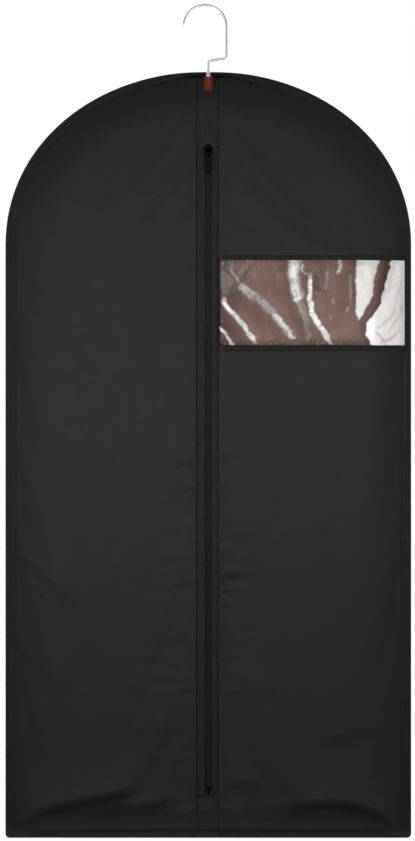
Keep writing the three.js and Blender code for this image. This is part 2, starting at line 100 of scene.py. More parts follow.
def ease_out(t):
    return 1 - (1 - np.clip(t, 0, 1)) ** 2


def smooth(t):
    t = np.clip(t, 0, 1)
    return t * t * (3 - 2 * t)


def hump(t):
    """A bell curve, 1 at 0."""
    return np.exp(-(t * t))


def tapering(along, share):
    """1 along the middle of a line, falling to 0 over a share of its length at each end."""
    return smooth(along / share) * smooth((1 - along) / share)


def inwardness(x, z):
    """0 along the cover's inner edge, rising towards the middle."""
    up = np.maximum(z - SPRING, 0) / INNER_RISE
    out = np.abs(x) / INNER_HALF
    return 1 - (out**ARCH_POWER + up**ARCH_POWER) ** (1 / ARCH_POWER)


def fullness(x, z):
    """0 along the cover's edge and 1 where it stands out in full."""
    return ease_out(inwardness(x, z) * SIDE_RUN) * ease_out((z - INNER_BOTTOM) / BOTTOM_RUN)


def neck_swell(x, z):
    """How far the hanger's neck pushes the cloth out, 1 at the top of the zip's strip."""
    below = np.clip((INNER_RISE + SPRING - z) / NECK_DEPTH, 0, 1)
    return hump(x / NECK_SPREAD) * (1 - below) ** 2


def front_y(x, z):
    return -(SEAM + (FACE - SEAM) * fullness(x, z) + NECK_FRONT * neck_swell(x, z))


def back_y(x, z):
    return SEAM + (BACK_FACE - SEAM) * fullness(x, z) + NECK_BACK * neck_swell(x, z)


# ---------------------------------------------------------------- camera

PHOTO_HEIGHT = 1.243  # of the view where the cover's seam is, in metres
CAMERA_DISTANCE = 6.0
CAMERA_X = -0.0012
CAMERA_Z = -0.612
SENSOR = 36.0
camera_data = bpy.data.cameras.new("camera")
camera_data.sensor_width = SENSOR
camera_data.lens = SENSOR * CAMERA_DISTANCE / PHOTO_HEIGHT
camera = bpy.data.objects.new("camera", camera_data)
camera.location = (CAMERA_X, -CAMERA_DISTANCE, CAMERA_Z)
camera.rotation_euler = (math.radians(90), 0, 0)
scene.collection.objects.link(camera)
scene.camera = camera
scene.view_settings.view_transform = "Standard"

# ---------------------------------------------------------------- mesh helpers


def mesh_object(
    name, points, faces, material, slot, body="bag", stands_for=(), shade_smooth=True, attributes=None
):
    """A piece from points in millimetres, riding on a body in the place of the CAD nodes it stands for."""
    mesh = bpy.data.meshes.new(name)
    mesh.from_pydata((np.asarray(points, float) * MM).tolist(), [], [list(map(int, f)) for f in faces])
    mesh.validate()
    made = bmesh.new()
    made.from_mesh(mesh)
    bmesh.ops.recalc_face_normals(made, faces=made.faces)
    made.to_mesh(mesh)
    made.free()
    mesh.polygons.foreach_set("use_smooth", [shade_smooth] * len(mesh.polygons))
    for key, values in (attributes or {}).items():
        store_attribute(mesh, key, values)
    mesh.materials.append(material)
    piece = bpy.data.objects.new(name, mesh)
    scene.collection.objects.link(piece)
    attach(piece, body)
    for node in stands_for:
        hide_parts(node)
    return piece


def store_attribute(mesh, key, values):
    values = np.asarray(values, float)
    if values.ndim == 1:
        mesh.attributes.new(key, "FLOAT", "POINT").data.foreach_set("value", values)
    else:
        mesh.attributes.new(key, "FLOAT_VECTOR", "POINT").data.foreach_set("vector", values.ravel())


RIGHTWARD = np.array([1.0, 0.0, 0.0])
BACKWARD = np.array([0.0, 1.0, 0.0])
UPWARD = np.array([0.0, 0.0, 1.0])


def spots(x, y, z):
    """Points from three coordinates, any of which may be a single value."""
    return np.stack(np.broadcast_arrays(x, y, z), -1).astype(float)


def unit(vectors):
    return vectors / np.linalg.norm(vectors, axis=-1, keepdims=True)


def directions(line):
    """Unit vectors along an open line."""
    return unit(np.gradient(line, axis=0))


def grid_faces(rows, cols):
    index = np.arange(rows * cols).reshape(rows, cols)
    corners = (index[:-1, :-1], index[:-1, 1:], index[1:, 1:], index[1:, :-1])
    return np.stack(corners, -1).reshape(-1, 4)


def grid_normals(grid):
    normal = np.cross(np.gradient(grid, axis=1), np.gradient(grid, axis=0))
    return normal / np.maximum(np.linalg.norm(normal, axis=-1, keepdims=True), 1e-9)


def shell(grid, thickness, keep=None):
    """Points and faces of a closed sheet round a grid of middle points. keep marks the points that stay."""
    rows, cols = grid.shape[:2]
    offset = grid_normals(grid) * thickness / 2
    points = np.concatenate([(grid + offset).reshape(-1, 3), (grid - offset).reshape(-1, 3)])
    faces = grid_faces(rows, cols)
    if keep is not None:
        faces = faces[keep.reshape(-1)[faces].all(axis=1)]
    edges = np.concatenate([faces[:, [i, (i + 1) % 4]] for i in range(4)])
    code = edges[:, 0] * rows * cols + edges[:, 1]
    border = edges[~np.isin(code, edges[:, 1] * rows * cols + edges[:, 0])]
    far = rows * cols
    sides = np.stack([border[:, 1], border[:, 0], border[:, 0] + far, border[:, 1] + far], -1)
    faces = np.concatenate([faces, faces[:, ::-1] + far, sides])
    used, faces = np.unique(faces, return_inverse=True)
    return points[used], faces.reshape(-1, 4), used


def refine(grid, factor):
    """The same grid with more points, on a smooth curve through the old ones."""
    for axis in (0, 1):
        grid = np.moveaxis(grid, axis, 0)
        count = len(grid)
        at = np.linspace(0, count - 1, (count - 1) * factor + 1)
        cell = np.minimum(at.astype(int), count - 2)
        t = (at - cell)[:, None, None]
        before, a, b, after = (grid[np.clip(cell + k, 0, count - 1)] for k in (-1, 0, 1, 2))
        ends = [2 * a, b - before, 2 * before - 5 * a + 4 * b - after, 3 * a - before - 3 * b + after]
        grid = 0.5 * (ends[0] + ends[1] * t + ends[2] * t**2 + ends[3] * t**3)
        grid = np.moveaxis(grid, 0, axis)
    return grid


def sweep(centres, across, up, section, closed=False):
    """A solid from a section carried along a path. across and up are one vector, or one for each centre.
    section is (m, 2), or (n, m, 2) where it changes."""
    centres, section = np.asarray(centres, float), np.asarray(section, float)
    across, up = (np.broadcast_to(vectors, centres.shape) for vectors in (across, up))
    if section.ndim == 2:
        section = np.repeat(section[None], len(centres), 0)
    count, sides = section.shape[:2]
    rings = centres[:, None] + section[..., :1] * across[:, None] + section[..., 1:] * up[:, None]
    ring = np.arange(sides)
    steps = np.arange(count if closed else count - 1)
    a = steps[:, None] * sides + ring
    b = (steps[:, None] + 1) % count * sides + ring
    turn = np.roll(ring, -1)
    faces = np.stack([a, a[:, turn], b[:, turn], b], -1).reshape(-1, 4).tolist()
    if not closed:
        faces += [ring[::-1].tolist(), (ring + (count - 1) * sides).tolist()]
    return rings.reshape(-1, 3), faces


def circle(radius, sides):
    angle = np.arange(sides) * 2 * math.pi / sides
    return np.stack([radius * np.cos(angle), radius * np.sin(angle)], -1)


def joined(parts):
    """One mesh's points and faces from several."""
    points, faces, start = [], [], 0
    for some_points, some_faces in parts:
        points.append(np.asarray(some_points))
        faces += [[i + start for i in face] for face in some_faces]
        start += len(some_points)
    return np.concatenate(points), faces


def copies(points, faces, places):
    """One mesh's points and faces from copies of a small one: places is (k, 3, 4), a matrix each."""
    points, faces, places = np.asarray(points), np.asarray(faces), np.asarray(places)
    moved = np.einsum("kij,pj->kpi", places[:, :, :3], points) + places[:, None, :, 3]
    shift = np.arange(len(places))[:, None, None] * len(points)
    return moved.reshape(-1, 3), (faces[None] + shift).reshape(-1, faces.shape[1])


def bezier(controls, t):
    """Points on the curve that a few controls steer, for each t from 0 to 1."""
    controls = np.asarray(controls, float)[:, None]
    while len(controls) > 1:
        controls = (1 - t[:, None]) * controls[:-1] + t[:, None] * controls[1:]
    return controls[0]


def resample(points, spacing):
    """Points a spacing apart along an open line."""
    points = np.asarray(points, float)
    length = np.concatenate([[0], np.cumsum(np.linalg.norm(np.diff(points, axis=0), axis=1))])
    at = np.linspace(0, length[-1], max(int(round(length[-1] / spacing)), 1) + 1)
    return np.stack([np.interp(at, length, points[:, k]) for k in range(points.shape[1])], -1)


def curve_through(points, steps=12):
    """A smooth line through a few chosen points."""
    return refine(np.asarray(points, float)[:, None, :].repeat(2, 1), steps)[:, 0]


def distance_to(line, x, z):
    """How far each point is from a line in the XZ plane, on which side, and how far along, 0 to 1."""
    start, end = line[:-1], line[1:]
    step = end - start
    length = np.maximum((step**2).sum(-1), 1e-12)
    best, side, along = np.full(x.shape, 1e9), np.zeros(x.shape), np.zeros(x.shape)
    for i in range(len(start)):
        dx, dz = x - start[i, 0], z - start[i, 1]
        t = np.clip((dx * step[i, 0] + dz * step[i, 1]) / length[i], 0, 1)
        gap = np.hypot(dx - t * step[i, 0], dz - t * step[i, 1])
        nearer = gap < best
        best = np.where(nearer, gap, best)
        side = np.where(nearer, np.sign(step[i, 0] * dz - step[i, 1] * dx), side)
        along = np.where(nearer, (i + t) / len(start), along)
    return best, side, along


def waves(x, z, length, seed):
    """Smooth, seeded unevenness of about unit size, from a few sines that cross at odd angles."""
    rng = np.random.default_rng(seed)
    total = 0
    for _ in range(9):
        angle = rng.uniform(0, math.pi)
        pitch = length * rng.uniform(0.6, 1.7)
        phase = (x * math.cos(angle) + z * math.sin(angle)) * 2 * math.pi / pitch
        total = total + np.sin(phase + rng.uniform(0, 2 * math.pi))
    return total / 3


STITCH_LENGTH = 2.4
STITCH_PITCH = 3.2
STITCH_RADIUS = 0.24
# Along one stitch: how far from its middle, how thick and how far out of the cloth.
STITCH_FORM = np.array(
    [[-1, 0.25, -0.25], [-0.6, 0.9, 0.05], [0, 1, 0.1], [0.6, 0.9, 0.05], [1, 0.25, -0.25]]
)


def stitches(line, outward):
    """A row of stitches along a 3-D line, with outward pointing out of the cloth."""
    at = resample(line, STITCH_PITCH)
    middle = (at[1:] + at[:-1]) / 2
    along = unit(at[1:] - at[:-1])
    side = unit(np.cross(along, outward))
    out = np.cross(side, along)
    run, thick, lift = STITCH_FORM.T
    spine = spots(run * STITCH_LENGTH / 2, 0, lift)
    section = thick[:, None, None] * circle(STITCH_RADIUS, 6)[None]
    points, faces = sweep(spine, BACKWARD, UPWARD, section)
    caps = [face for face in faces if len(face) == 6]
    quads = [face for face in faces if len(face) == 4]
    quads += [face[:4] for face in caps]
    quads += [[face[0], *face[3:]] for face in caps]
    places = np.stack([along, side, out, middle], -1)
    return copies(points, quads, places)


# ---------------------------------------------------------------- materials


class Look:
    """A material with a Principled shader, and short names for adding nodes to it."""

    def __init__(self, name, colour, roughness, **sockets):
        self.material = bpy.data.materials.new(name)
        self.material.use_nodes = True
        self.tree = self.material.node_tree
        self.shader = self.tree.nodes["Principled BSDF"]
        self.set(self.shader, "Base Color", (*colour, 1))
        self.set(self.shader, "Roughness", roughness)
        for key, value in sockets.items():
            self.set(self.shader, key.replace("_", " "), value)

    def set(self, node, socket, value):
        if isinstance(value, bpy.types.NodeSocket):
            self.tree.links.new(value, node.inputs[socket])
        else:
            node.inputs[socket].default_value = value

    def node(self, kind, inputs=None, **settings):
        made = self.tree.nodes.new("ShaderNode" + kind)
        for key, value in settings.items():
            setattr(made, key, value)
        for key, value in (inputs or {}).items():
            self.set(made, key, value)
        return made

    def place(self):
        """Where a point is on the piece, in metres."""
        return self.node("TexCoord").outputs["Object"]

    def attribute(self, name):
        return self.node("Attribute", attribute_name=name)

    def scaled(self, vector, x, y, z):
        return self.node("Mapping", {"Vector": vector, "Scale": (x, y, z)}).outputs[0]

    def noise(self, vector, scale, detail=3.0, roughness=0.5):
        inputs = {"Vector": vector, "Scale": scale, "Detail": detail, "Roughness": roughness}
        return self.node("TexNoise", inputs).outputs[0]

    def wave(self, vector, scale, direction, distortion=0.0, detail_scale=1.0):
        inputs = {"Vector": vector, "Scale": scale, "Distortion": distortion, "Detail Scale": detail_scale}
        return self.node("TexWave", inputs, bands_direction=direction).outputs["Fac"]

    def math(self, operation, a, b=0.0):
        made = self.node("Math", operation=operation)
        self.set(made, 0, a)
        self.set(made, 1, b)
        return made.outputs[0]

    def spread(self, value, low_end, high_end, from_low=0.3, from_high=0.7):
        inputs = {"Value": value, "From Min": from_low, "From Max": from_high}
        inputs.update({"To Min": low_end, "To Max": high_end})
        return self.node("MapRange", inputs).outputs[0]

    def blend(self, factor, a, b):
        made = self.node("Mix", data_type="RGBA")
        self.set(made, 0, factor)
        for socket, value in ((6, a), (7, b)):
            self.set(made, socket, value if isinstance(value, bpy.types.NodeSocket) else (*value, 1))
        return made.outputs[2]

    def colour(self, value):
        self.set(self.shader, "Base Color", value)

    def roughness(self, value):
        self.set(self.shader, "Roughness", value)

    def mottled(self, scale, detail, one, other):
        """Gives the shader a colour that wanders between two."""
        self.colour(self.blend(self.noise(self.place(), scale, detail), one, other))

    def uneven_shine(self, scale, detail, least, most):
        """Gives the shader a roughness that wanders between two values."""
        self.roughness(self.spread(self.noise(self.place(), scale, detail), least, most))

    def bump(self, height, distance):
        normal = self.node("Bump", {"Height": height, "Distance": distance * MM}).outputs[0]
        self.set(self.shader, "Normal", normal)


def woven(look, pitch, depth):
    """A plain weave of warp and weft ribs."""
    place = look.place()
    turns = 1 / (pitch * MM) * (2 * math.pi) / 20  # a wave texture has one band per 2 pi / 20 at scale 1
    warp = look.wave(place, turns, "X")
    weft = look.wave(place, turns, "Z")
    threads = look.math("MAXIMUM", warp, weft)
    look.bump(threads, depth)


def cover_cloth():
    """Plain woven cloth, with painted shade: darker and less glossy where an attribute marks the shadowed
    crease under a deep fold.
    """
    sheen = {"Sheen_Weight": 0.02, "Sheen_Roughness": 0.45}
    look = Look("cover_cloth", (0.0118, 0.0118, 0.012), 0.62, Specular_IOR_Level=0.15, **sheen)
    place = look.place()
    patchy = look.noise(place, 5, 2)
    slub = look.noise(look.scaled(place, 900, 900, 140), 1, 2)
    tone = look.math("ADD", look.math("MULTIPLY", patchy, 0.6), look.math("MULTIPLY", slub, 0.4))
    factor = look.spread(tone, 0, 1, 0.35, 0.65)
    even = look.blend(factor, (0.0114, 0.0114, 0.0116), (0.0121, 0.0121, 0.0123))
    # painted shade: the cloth is painted darker and duller where the shadow under a deep fold falls
    crease_shade = look.attribute("crease_shade").outputs["Fac"]
    look.colour(look.blend(crease_shade, even, (0.005, 0.005, 0.0051)))
    look.set(look.shader, "Specular IOR Level", look.spread(crease_shade, 0.15, 0.06, 0, 1))
    look.uneven_shine(60, 4, 0.6, 0.66)
    woven(look, 0.7, 0.05)
    return look.material


def lining_cloth():
    look = Look("lining_cloth", (0.27, 0.14, 0.107), 0.6, Sheen_Weight=0.05)
    place = look.place()
    factor = look.spread(look.noise(place, 14, 5), 0, 1)
    look.colour(look.blend(factor, (0.245, 0.128, 0.096), (0.29, 0.155, 0.118)))
    look.uneven_shine(50, 3, 0.5, 0.66)
    woven(look, 0.6, 0.05)
    return look.material


def ribbed_tape(name, colour, lighter, pitch):
    """Grosgrain: ribs across the tape, which its thread attribute measures along it. An attribute marks the
    tape along the cover's bottom edge, which is made paler."""
    look = Look(name, colour, 0.7, Specular_IOR_Level=0.16, Sheen_Weight=0.02, Sheen_Roughness=0.5)
    thread = look.attribute("thread").outputs["Vector"]
    ribs = look.wave(thread, 2 * math.pi / 20 / pitch, "X", 0.4)
    place = look.place()
    factor = look.spread(look.noise(place, 120, 4), 0, 1)
    paler_bottom = tuple(2.1 * part for part in lighter)
    fresh = look.blend(factor, colour, lighter)
    look.colour(look.blend(look.attribute("paler_bottom").outputs["Fac"], fresh, paler_bottom))
    look.uneven_shine(300, 2, 0.62, 0.8)
    look.bump(ribs, 0.12)
    return look.material


def thread_look():
    look = Look("sewing_thread", (0.009, 0.009, 0.0093), 0.5, Specular_IOR_Level=0.2)
    look.mottled(700, 2, (0.006, 0.006, 0.0062), (0.013, 0.013, 0.0133))
    look.uneven_shine(400, 2, 0.42, 0.6)
    return look.material


def nylon_coil():
    look = Look("nylon_coil", (0.006, 0.006, 0.0063), 0.42, Specular_IOR_Level=0.2)
    look.mottled(250, 3, (0.005, 0.005, 0.0053), (0.0095, 0.0095, 0.0098))
    look.uneven_shine(180, 3, 0.3, 0.46)
    look.bump(look.noise(look.place(), 1500, 2), 0.03)
    return look.material


def black_enamel():
    look = Look("black_enamel", (0.0012, 0.0012, 0.0013), 0.34, Specular_IOR_Level=0.05)
    place = look.place()
    wear = look.spread(look.noise(place, 320, 5), 0, 1, 0.5, 0.75)
    look.colour(look.blend(wear, (0.0008, 0.0008, 0.0009), (0.0024, 0.0024, 0.0025)))
    look.uneven_shine(160, 4, 0.3, 0.42)
    look.bump(look.noise(place, 900, 3), 0.02)
    return look.material


def satin_nickel():
    look = Look("satin_nickel", (0.62, 0.615, 0.6), 0.3, Metallic=1.0)
    place = look.place()
    look.mottled(90, 4, (0.56, 0.555, 0.54), (0.68, 0.675, 0.66))
    look.roughness(look.spread(look.noise(look.scaled(place, 500, 500, 90), 1, 3), 0.24, 0.38))
    look.bump(look.noise(look.scaled(place, 1400, 1400, 160), 1, 2), 0.02)
    return look.material


def stained_wood():
    varnish = {"Coat_Weight": 0.1, "Coat_Roughness": 0.2}
    look = Look("stained_wood", (0.13, 0.02, 0.004), 0.42, Specular_IOR_Level=0.25, **varnish)
    place = look.scaled(look.place(), 1, 1, 0.12)
    grain = look.wave(place, 60, "X", 6.0, 2.0)
    fine = look.noise(look.scaled(look.place(), 900, 900, 45), 1, 4)
    tone = look.math("ADD", look.math("MULTIPLY", grain, 0.55), look.math("MULTIPLY", fine, 0.45))
    look.colour(look.blend(tone, (0.07, 0.007, 0.001), (0.26, 0.034, 0.003)))
    look.roughness(look.spread(fine, 0.26, 0.44))
    look.bump(fine, 0.05)
    return look.material


def clear_film():
    """Soft clear film. Where an attribute marks its creases it is painted milky and bright, as crease
    whitening and painted highlights, and where another marks shadowed creases it is painted dark, as painted
    shade."""
    look = Look("clear_film", (0.5, 0.49, 0.48), 0.1, IOR=1.52, Specular_IOR_Level=0.3)
    place = look.place()
    # painted highlights: milky white along the creases and over the broad fields, with the crease whitening
    haze_and_highlight = look.attribute("haze_and_highlight").outputs["Fac"]
    streaky = look.noise(look.scaled(place, 420, 420, 260), 1, 4)
    milky_highlight = look.math("MULTIPLY", haze_and_highlight, look.spread(streaky, 0.93, 1.0, 0.35, 0.55))
    shaded = look.attribute("shade").outputs["Fac"]
    pale = look.blend(milky_highlight, (0.06, 0.045, 0.04), (0.9, 0.87, 0.86))
    look.colour(look.blend(shaded, pale, (0.03, 0.02, 0.018)))
    cover = look.math("MAXIMUM", look.spread(milky_highlight, 0.07, 0.97, 0, 0.85), look.math("MULTIPLY", shaded, 0.6))
    look.set(look.shader, "Alpha", cover)
    look.uneven_shine(70, 3, 0.07, 0.17)
    look.bump(look.noise(look.scaled(place, 240, 240, 110), 1, 4), 0.12)
    return look.material


def pale_floor():
    look = Look("pale_floor", (0.82, 0.82, 0.82), 0.7)
    look.mottled(1.5, 3, (0.8, 0.8, 0.8), (0.85, 0.85, 0.85))
    return look.material


CLOTH = cover_cloth()
LINING = lining_cloth()
TAPE = ribbed_tape("ribbed_tape", (0.005, 0.005, 0.0052), (0.0085, 0.0085, 0.0088), 0.9)
ZIP_TAPE = ribbed_tape("zip_tape_weave", (0.0068, 0.0068, 0.007), (0.0105, 0.0105, 0.0108), 1.3)
THREAD = thread_look()
COIL = nylon_coil()
ENAMEL = black_enamel()
NICKEL = satin_nickel()
WOOD = stained_wood()
FILM = clear_film()

# ---------------------------------------------------------------- cloth panels

CELL = 6.5  # the simulated cloth's grid
FINE = 3  # each simulated cell becomes this many cells each way
TUCK = 6  # how far a panel runs in under the binding
NECK_CLEAR = 62  # half the width over which the hanger's neck holds the front off the binding
PANEL_THICKNESS = 0.5


def grid_between(x0, x1, z0, z1, cell):
    """The X and Z of a grid of points about a cell apart."""
    xs = np.linspace(x0, x1, int(round((x1 - x0) / cell)) + 1)
    zs = np.linspace(z0, z1, int(round((z1 - z0) / cell)) + 1)
    return np.meshgrid(xs, zs)


def settle(grid, pinned, slack, frames=26):
    """The grid after its cloth, cut a little larger than its frame, has settled under its weight."""
    rows, cols = pinned.shape
    rng = np.random.default_rng(SEED)
    start = grid * MM
    start[..., 1] += np.where(pinned, 0, rng.normal(0, 0.00015, pinned.shape))
    mesh = bpy.data.meshes.new("settling")
    mesh.from_pydata(start.reshape(-1, 3).tolist(), [], grid_faces(rows, cols).tolist())
    cloth = bpy.data.objects.new("settling", mesh)
    scene.collection.objects.link(cloth)
    pins = cloth.vertex_groups.new(name="pins")
    pins.add(np.flatnonzero(pinned.ravel()).tolist(), 1.0, "REPLACE")
    loose = cloth.vertex_groups.new(name="loose")
    for index, share in enumerate(np.broadcast_to(slack / slack.max(), pinned.shape).ravel()):
        loose.add([index], float(share), "REPLACE")
    modifier = cloth.modifiers.new("cloth", "CLOTH")
    settings = modifier.settings
    settings.quality = 5
    settings.mass = 0.1
    settings.air_damping = 2
    settings.tension_stiffness = settings.compression_stiffness = 8
    settings.shear_stiffness = 4
    settings.bending_stiffness = 0.6
    settings.vertex_group_mass = "pins"
    settings.vertex_group_shrink = "loose"
    settings.shrink_min = 0
    settings.shrink_max = -float(slack.max())
    modifier.collision_settings.use_collision = False
    modifier.point_cache.frame_start = 1
    modifier.point_cache.frame_end = frames
    for step in range(1, frames + 1):
        scene.frame_set(step)
    settled = cloth.evaluated_get(bpy.context.evaluated_depsgraph_get()).data
    places = np.empty(rows * cols * 3)
    settled.vertices.foreach_get("co", places)
    bpy.data.objects.remove(cloth)
    scene.frame_set(1)
    return places.reshape(rows, cols, 3) / MM


# How far settling may move a point: away from the hanger, towards it, and within the cloth.
MOST_OUT = 5
MOST_IN = 6
MOST_IN_AT_BACK = 2.5
MOST_SIDEWAYS = 2.5
HANGER_ROOM = 7.4  # the least a cloth's middle stands off the seam plane, so the hanger never shows through


def cloth_grid(x, z, depth, slack, facing):
    """A panel's middle points: its CAD form, settled, with no point far from where it was."""
    grid = np.stack([x, depth(x, z), z], -1)
    edge = inwardness(x, z) < 0.004
    edge |= z < INNER_BOTTOM + 1
    edge[0] = edge[-1] = True
    edge[:, 0] = edge[:, -1] = True
    moved = (settle(grid, edge, slack) - grid) * settling_share(z)[..., None]
    most_in = MOST_IN if facing < 0 else MOST_IN_AT_BACK
    moved[..., 1] = facing * np.clip(facing * moved[..., 1], -most_in, MOST_OUT)
    moved[..., ::2] = np.clip(moved[..., ::2], -MOST_SIDEWAYS, MOST_SIDEWAYS)
    room = np.minimum(np.abs(grid[..., 1]), HANGER_ROOM)
    grid = grid + moved
    grid[..., 1] = facing * np.maximum(facing * grid[..., 1], room)
    return refine(grid, FINE)


def settling_share(z):
    """A stiff, well-fitting cover takes up little of its slack, except near the bottom."""
    return 0.22 + 0.2 * smooth((INNER_BOTTOM + 240 - z) / 240)


def inside_cover(grid, open_neck=True):
    """The points of a grid that lie within the cover's edge, or just under its binding. At an open neck
    the cloth stands clear of the binding and stops at its inner edge."""
    x, z = grid[..., 0], grid[..., 2]
    tuck = TUCK * smooth((np.abs(x) - NECK_CLEAR) / 20) if open_neck else TUCK
    up = np.maximum(z - SPRING, 0) / (INNER_RISE + tuck)
    out = np.abs(x) / (INNER_HALF + TUCK)
    return out**ARCH_POWER + up**ARCH_POWER <= 1


def slack_at(z):
    """How much larger than its frame the cloth is cut: more towards the bottom."""
    bottom = smooth((INNER_BOTTOM + 260 - z) / 260)
    return 0.0012 + 0.005 * bottom


def pucker(x, z, edge_x, seed, reach=30):
    """Small level gathers that run out from a sewn edge."""
    away = np.abs(x - edge_x)
    fade = np.exp(-away / reach) * smooth(away / 4)
    middle = hump((z + 820) / 240)
    ripple = waves(0.2 * x, z, 19, seed) * np.clip(0.7 + 0.5 * waves(0.3 * x, z, 80, seed + 1), 0.1, 2)
    return fade * (0.12 + 0.88 * middle) * ripple


def sheet_object(
    name, grid, node, keep=None, thickness=PANEL_THICKNESS, material=CLOTH,
    slot="cover_fabric", marks=None,
):
    """A stretched sheet round a grid of middle points. marks gives attributes, a value for each point."""
    points, faces, used = shell(grid, thickness, keep)
    marks = {key: np.tile(values.ravel(), 2)[used] for key, values in (marks or {}).items()}
    piece = mesh_object(name, points, faces, material, slot, stands_for=[node], attributes=marks)


DEEPEST_FOLD = 10.5
FOLDS = [  # points from left to right in X and Z, then height, reach above and reach below the fold
    ([(-289, -796), (-250, -826), (-180, -896)], 2.4, 22, 10),
    ([(-289, -838), (-258, -856), (-226, -886)], 1.1, 14, 6),
    ([(-286, -936), (-250, -970), (-190, -1010)], 1.4, 30, 10),
    ([(-306, -1216), (-272, -1194), (-236, -1176), (-184, -1164), (-130, -1152), (-84, -1144)], 10.5, 42, 16),
    ([(-190, -1184), (-130, -1176), (-84, -1172), (-46, -1158)], 7.0, 20, 12),
    ([(-56, -1206), (-38, -1194), (-18, -1182)], 4.0, 12, 8),
    ([(20, -1178), (36, -1188), (62, -1208)], 4.4, 11, 7),
    ([(26, -1150), (52, -1140), (84, -1146)], 3.6, 18, 9),
    ([(88, -1180), (130, -1170), (196, -1168), (240, -1178), (276, -1200), (306, -1220)], 10.5, 42, 17),
    ([(20, -1012), (70, -1000), (130, -1026)], 1.8, 26, 10),
    ([(-150, -1084), (-90, -1062), (-34, -1060)], 2.0, 34, 12),
    ([(150, -1090), (210, -1066), (284, -1062)], 2.2, 34, 12),
    ([(232, -512), (258, -532), (289, -572)], 2.4, 18, 8),
    ([(-110, -298), (-78, -276), (-44, -254)], 1.3, 12, 3),
    ([(18, -366), (32, -346), (54, -322)], 2.2, 14, 6),
    ([(28, -222), (48, -196), (66, -170)], 0.9, 14, 7),
    ([(26, -238), (70, -228), (120, -200)], 0.7, 18, 8),
]


def creased(x, z):
    """How far the folds pressed into the cover raise the cloth, as a negative depth."""
    total = np.zeros(x.shape)
    for points, height, above, below in FOLDS:
        gap, side, along = distance_to(curve_through(points), x, z)
        ends = tapering(along, 0.35)
        total -= height * ends * np.where(side > 0, np.exp(-gap / above), hump(gap / below))
    return total


def painted_crease_shade(x, z):
    """How much painted shade each point gets in the crease under a fold, 0 to 1."""
    deepest = np.zeros(x.shape)
    for points, height, _, below in FOLDS:
        gap, side, along = distance_to(curve_through(points), x, z)
        ends = tapering(along, 0.3)
        strength = 0.85 * smooth(height / DEEPEST_FOLD) ** 1.5 * ends * (side < 0)
        under = smooth(gap / (0.8 * below)) * np.exp(-np.maximum(gap / below - 0.8, 0) / 0.8)
        deepest = 1 - (1 - deepest) * (1 - strength * under)
    uneven = 1 + 0.12 * waves(x, z, 110, 35)
    return np.clip(deepest * uneven, 0, 1) * smooth((z - INNER_BOTTOM - 3) / 10)


def panel(name, x0, x1, z0, z1, node, hem):
    """A front panel. hem is the X of the edge that is folded under beside the zip."""
    x, z = grid_between(x0, x1, z0, z1, CELL)
    grid = cloth_grid(x, z, front_y, slack_at(z), -1)
    x, z = grid[..., 0], grid[..., 2]
    inward = smooth(inwardness(x, z) / 0.06) * smooth((z - INNER_BOTTOM) / 14)
    grid[..., 1] += inward * creased(x, z)
    grid[..., 1] += inward * 1.9 * pucker(x, z, hem, 31)
    grid[..., 1] -= HEM_LIFT * hump((x - hem) / HEM_REACH)
    grid = folded_edge(grid, hem)
    # the painted shade in the creases under the folds, stored as an attribute
    marks = {"crease_shade": painted_crease_shade(grid[..., 0], grid[..., 2])}
    sheet_object(name, grid, node, inside_cover(grid), marks=marks)


HEM_ROLL = 1.4
HEM_LIFT = 2.2  # how far the folded edge stands forward
HEM_REACH = 6


def folded_edge(grid, hem):
    """Adds the turned-under edge of a panel to its grid, on the side where hem is."""
    right = abs(grid[0, -1, 0] - hem) < 1
    columns = grid[:, ::-1] if right else grid
    edge = columns[:, 0]
    sign = 1 if right else -1
    extra = []
    for angle in np.linspace(0, math.pi, 6)[1:]:
        extra.append(edge + [sign * HEM_ROLL * math.sin(angle), HEM_ROLL * (1 - math.cos(angle)), 0])
    for column in range(1, 7):
        under = 2 * HEM_ROLL - 2.0 * smooth(column / 6)
        extra.append(columns[:, column] + [0, under, 0])
    extra = np.stack(extra, 1)
    return np.concatenate([grid, extra], 1) if right else np.concatenate([extra[:, ::-1], grid], 1)


HEM_SLACK = 1.0  # how far a rolled edge has drawn back from the zip
ROLLED_LEFT = FOLD_LEFT - HEM_ROLL - HEM_SLACK
ROLLED_RIGHT = FOLD_RIGHT + HEM_ROLL + HEM_SLACK
SIDE = INNER_HALF + TUCK
HEAD = INNER_RISE + SPRING + TUCK
FOOT = INNER_BOTTOM - TUCK


panel(
    "front_left_cloth", -SIDE, ROLLED_LEFT, FOOT, HEAD, "front_left_panel",
    ROLLED_LEFT,
)
panel(
    "front_right_upper_cloth", ROLLED_RIGHT, SIDE, WINDOW_TOP + 0.3, HEAD, "front_right_upper_panel",
    ROLLED_RIGHT,
)
panel(
    "front_right_lower_cloth", ROLLED_RIGHT, SIDE, FOOT, WINDOW_BOTTOM - 0.3, "front_right_lower_panel",
    ROLLED_RIGHT,
)

# ---- back and lining


MOST_SUNK = 3.2  # of the back, so that the lining never shows through
BACK_FOLDS = 0.45  # how strong the front's folds are on the back, where they run the other way


def back_cloth():
    """The back in one piece, with fainter folds than the front's."""
    x, z = grid_between(-SIDE, SIDE, FOOT, HEAD, 8)
    grid = cloth_grid(x, z, back_y, slack_at(z), 1)
    x, z = grid[..., 0], grid[..., 2]
    inward = smooth(inwardness(x, z) / 0.1) * smooth((z - INNER_BOTTOM) / 20)
    grid[..., 1] -= inward * (BACK_FOLDS * creased(-x, z) - 0.7 * waves(x, z, 240, 5))
    grid[..., 1] = np.maximum(grid[..., 1], back_y(x, z) - MOST_SUNK)
    keep = inside_cover(grid, open_neck=False)
    sheet_object("back_cloth", grid, "back_panel", keep=keep)


back_cloth()

LINING_INSET = INNER_HALF - high("back_lining").x
LINING_CROWN = high("back_lining").z
LINING_DEPTH = 5
LINING_THICKNESS = 0.4


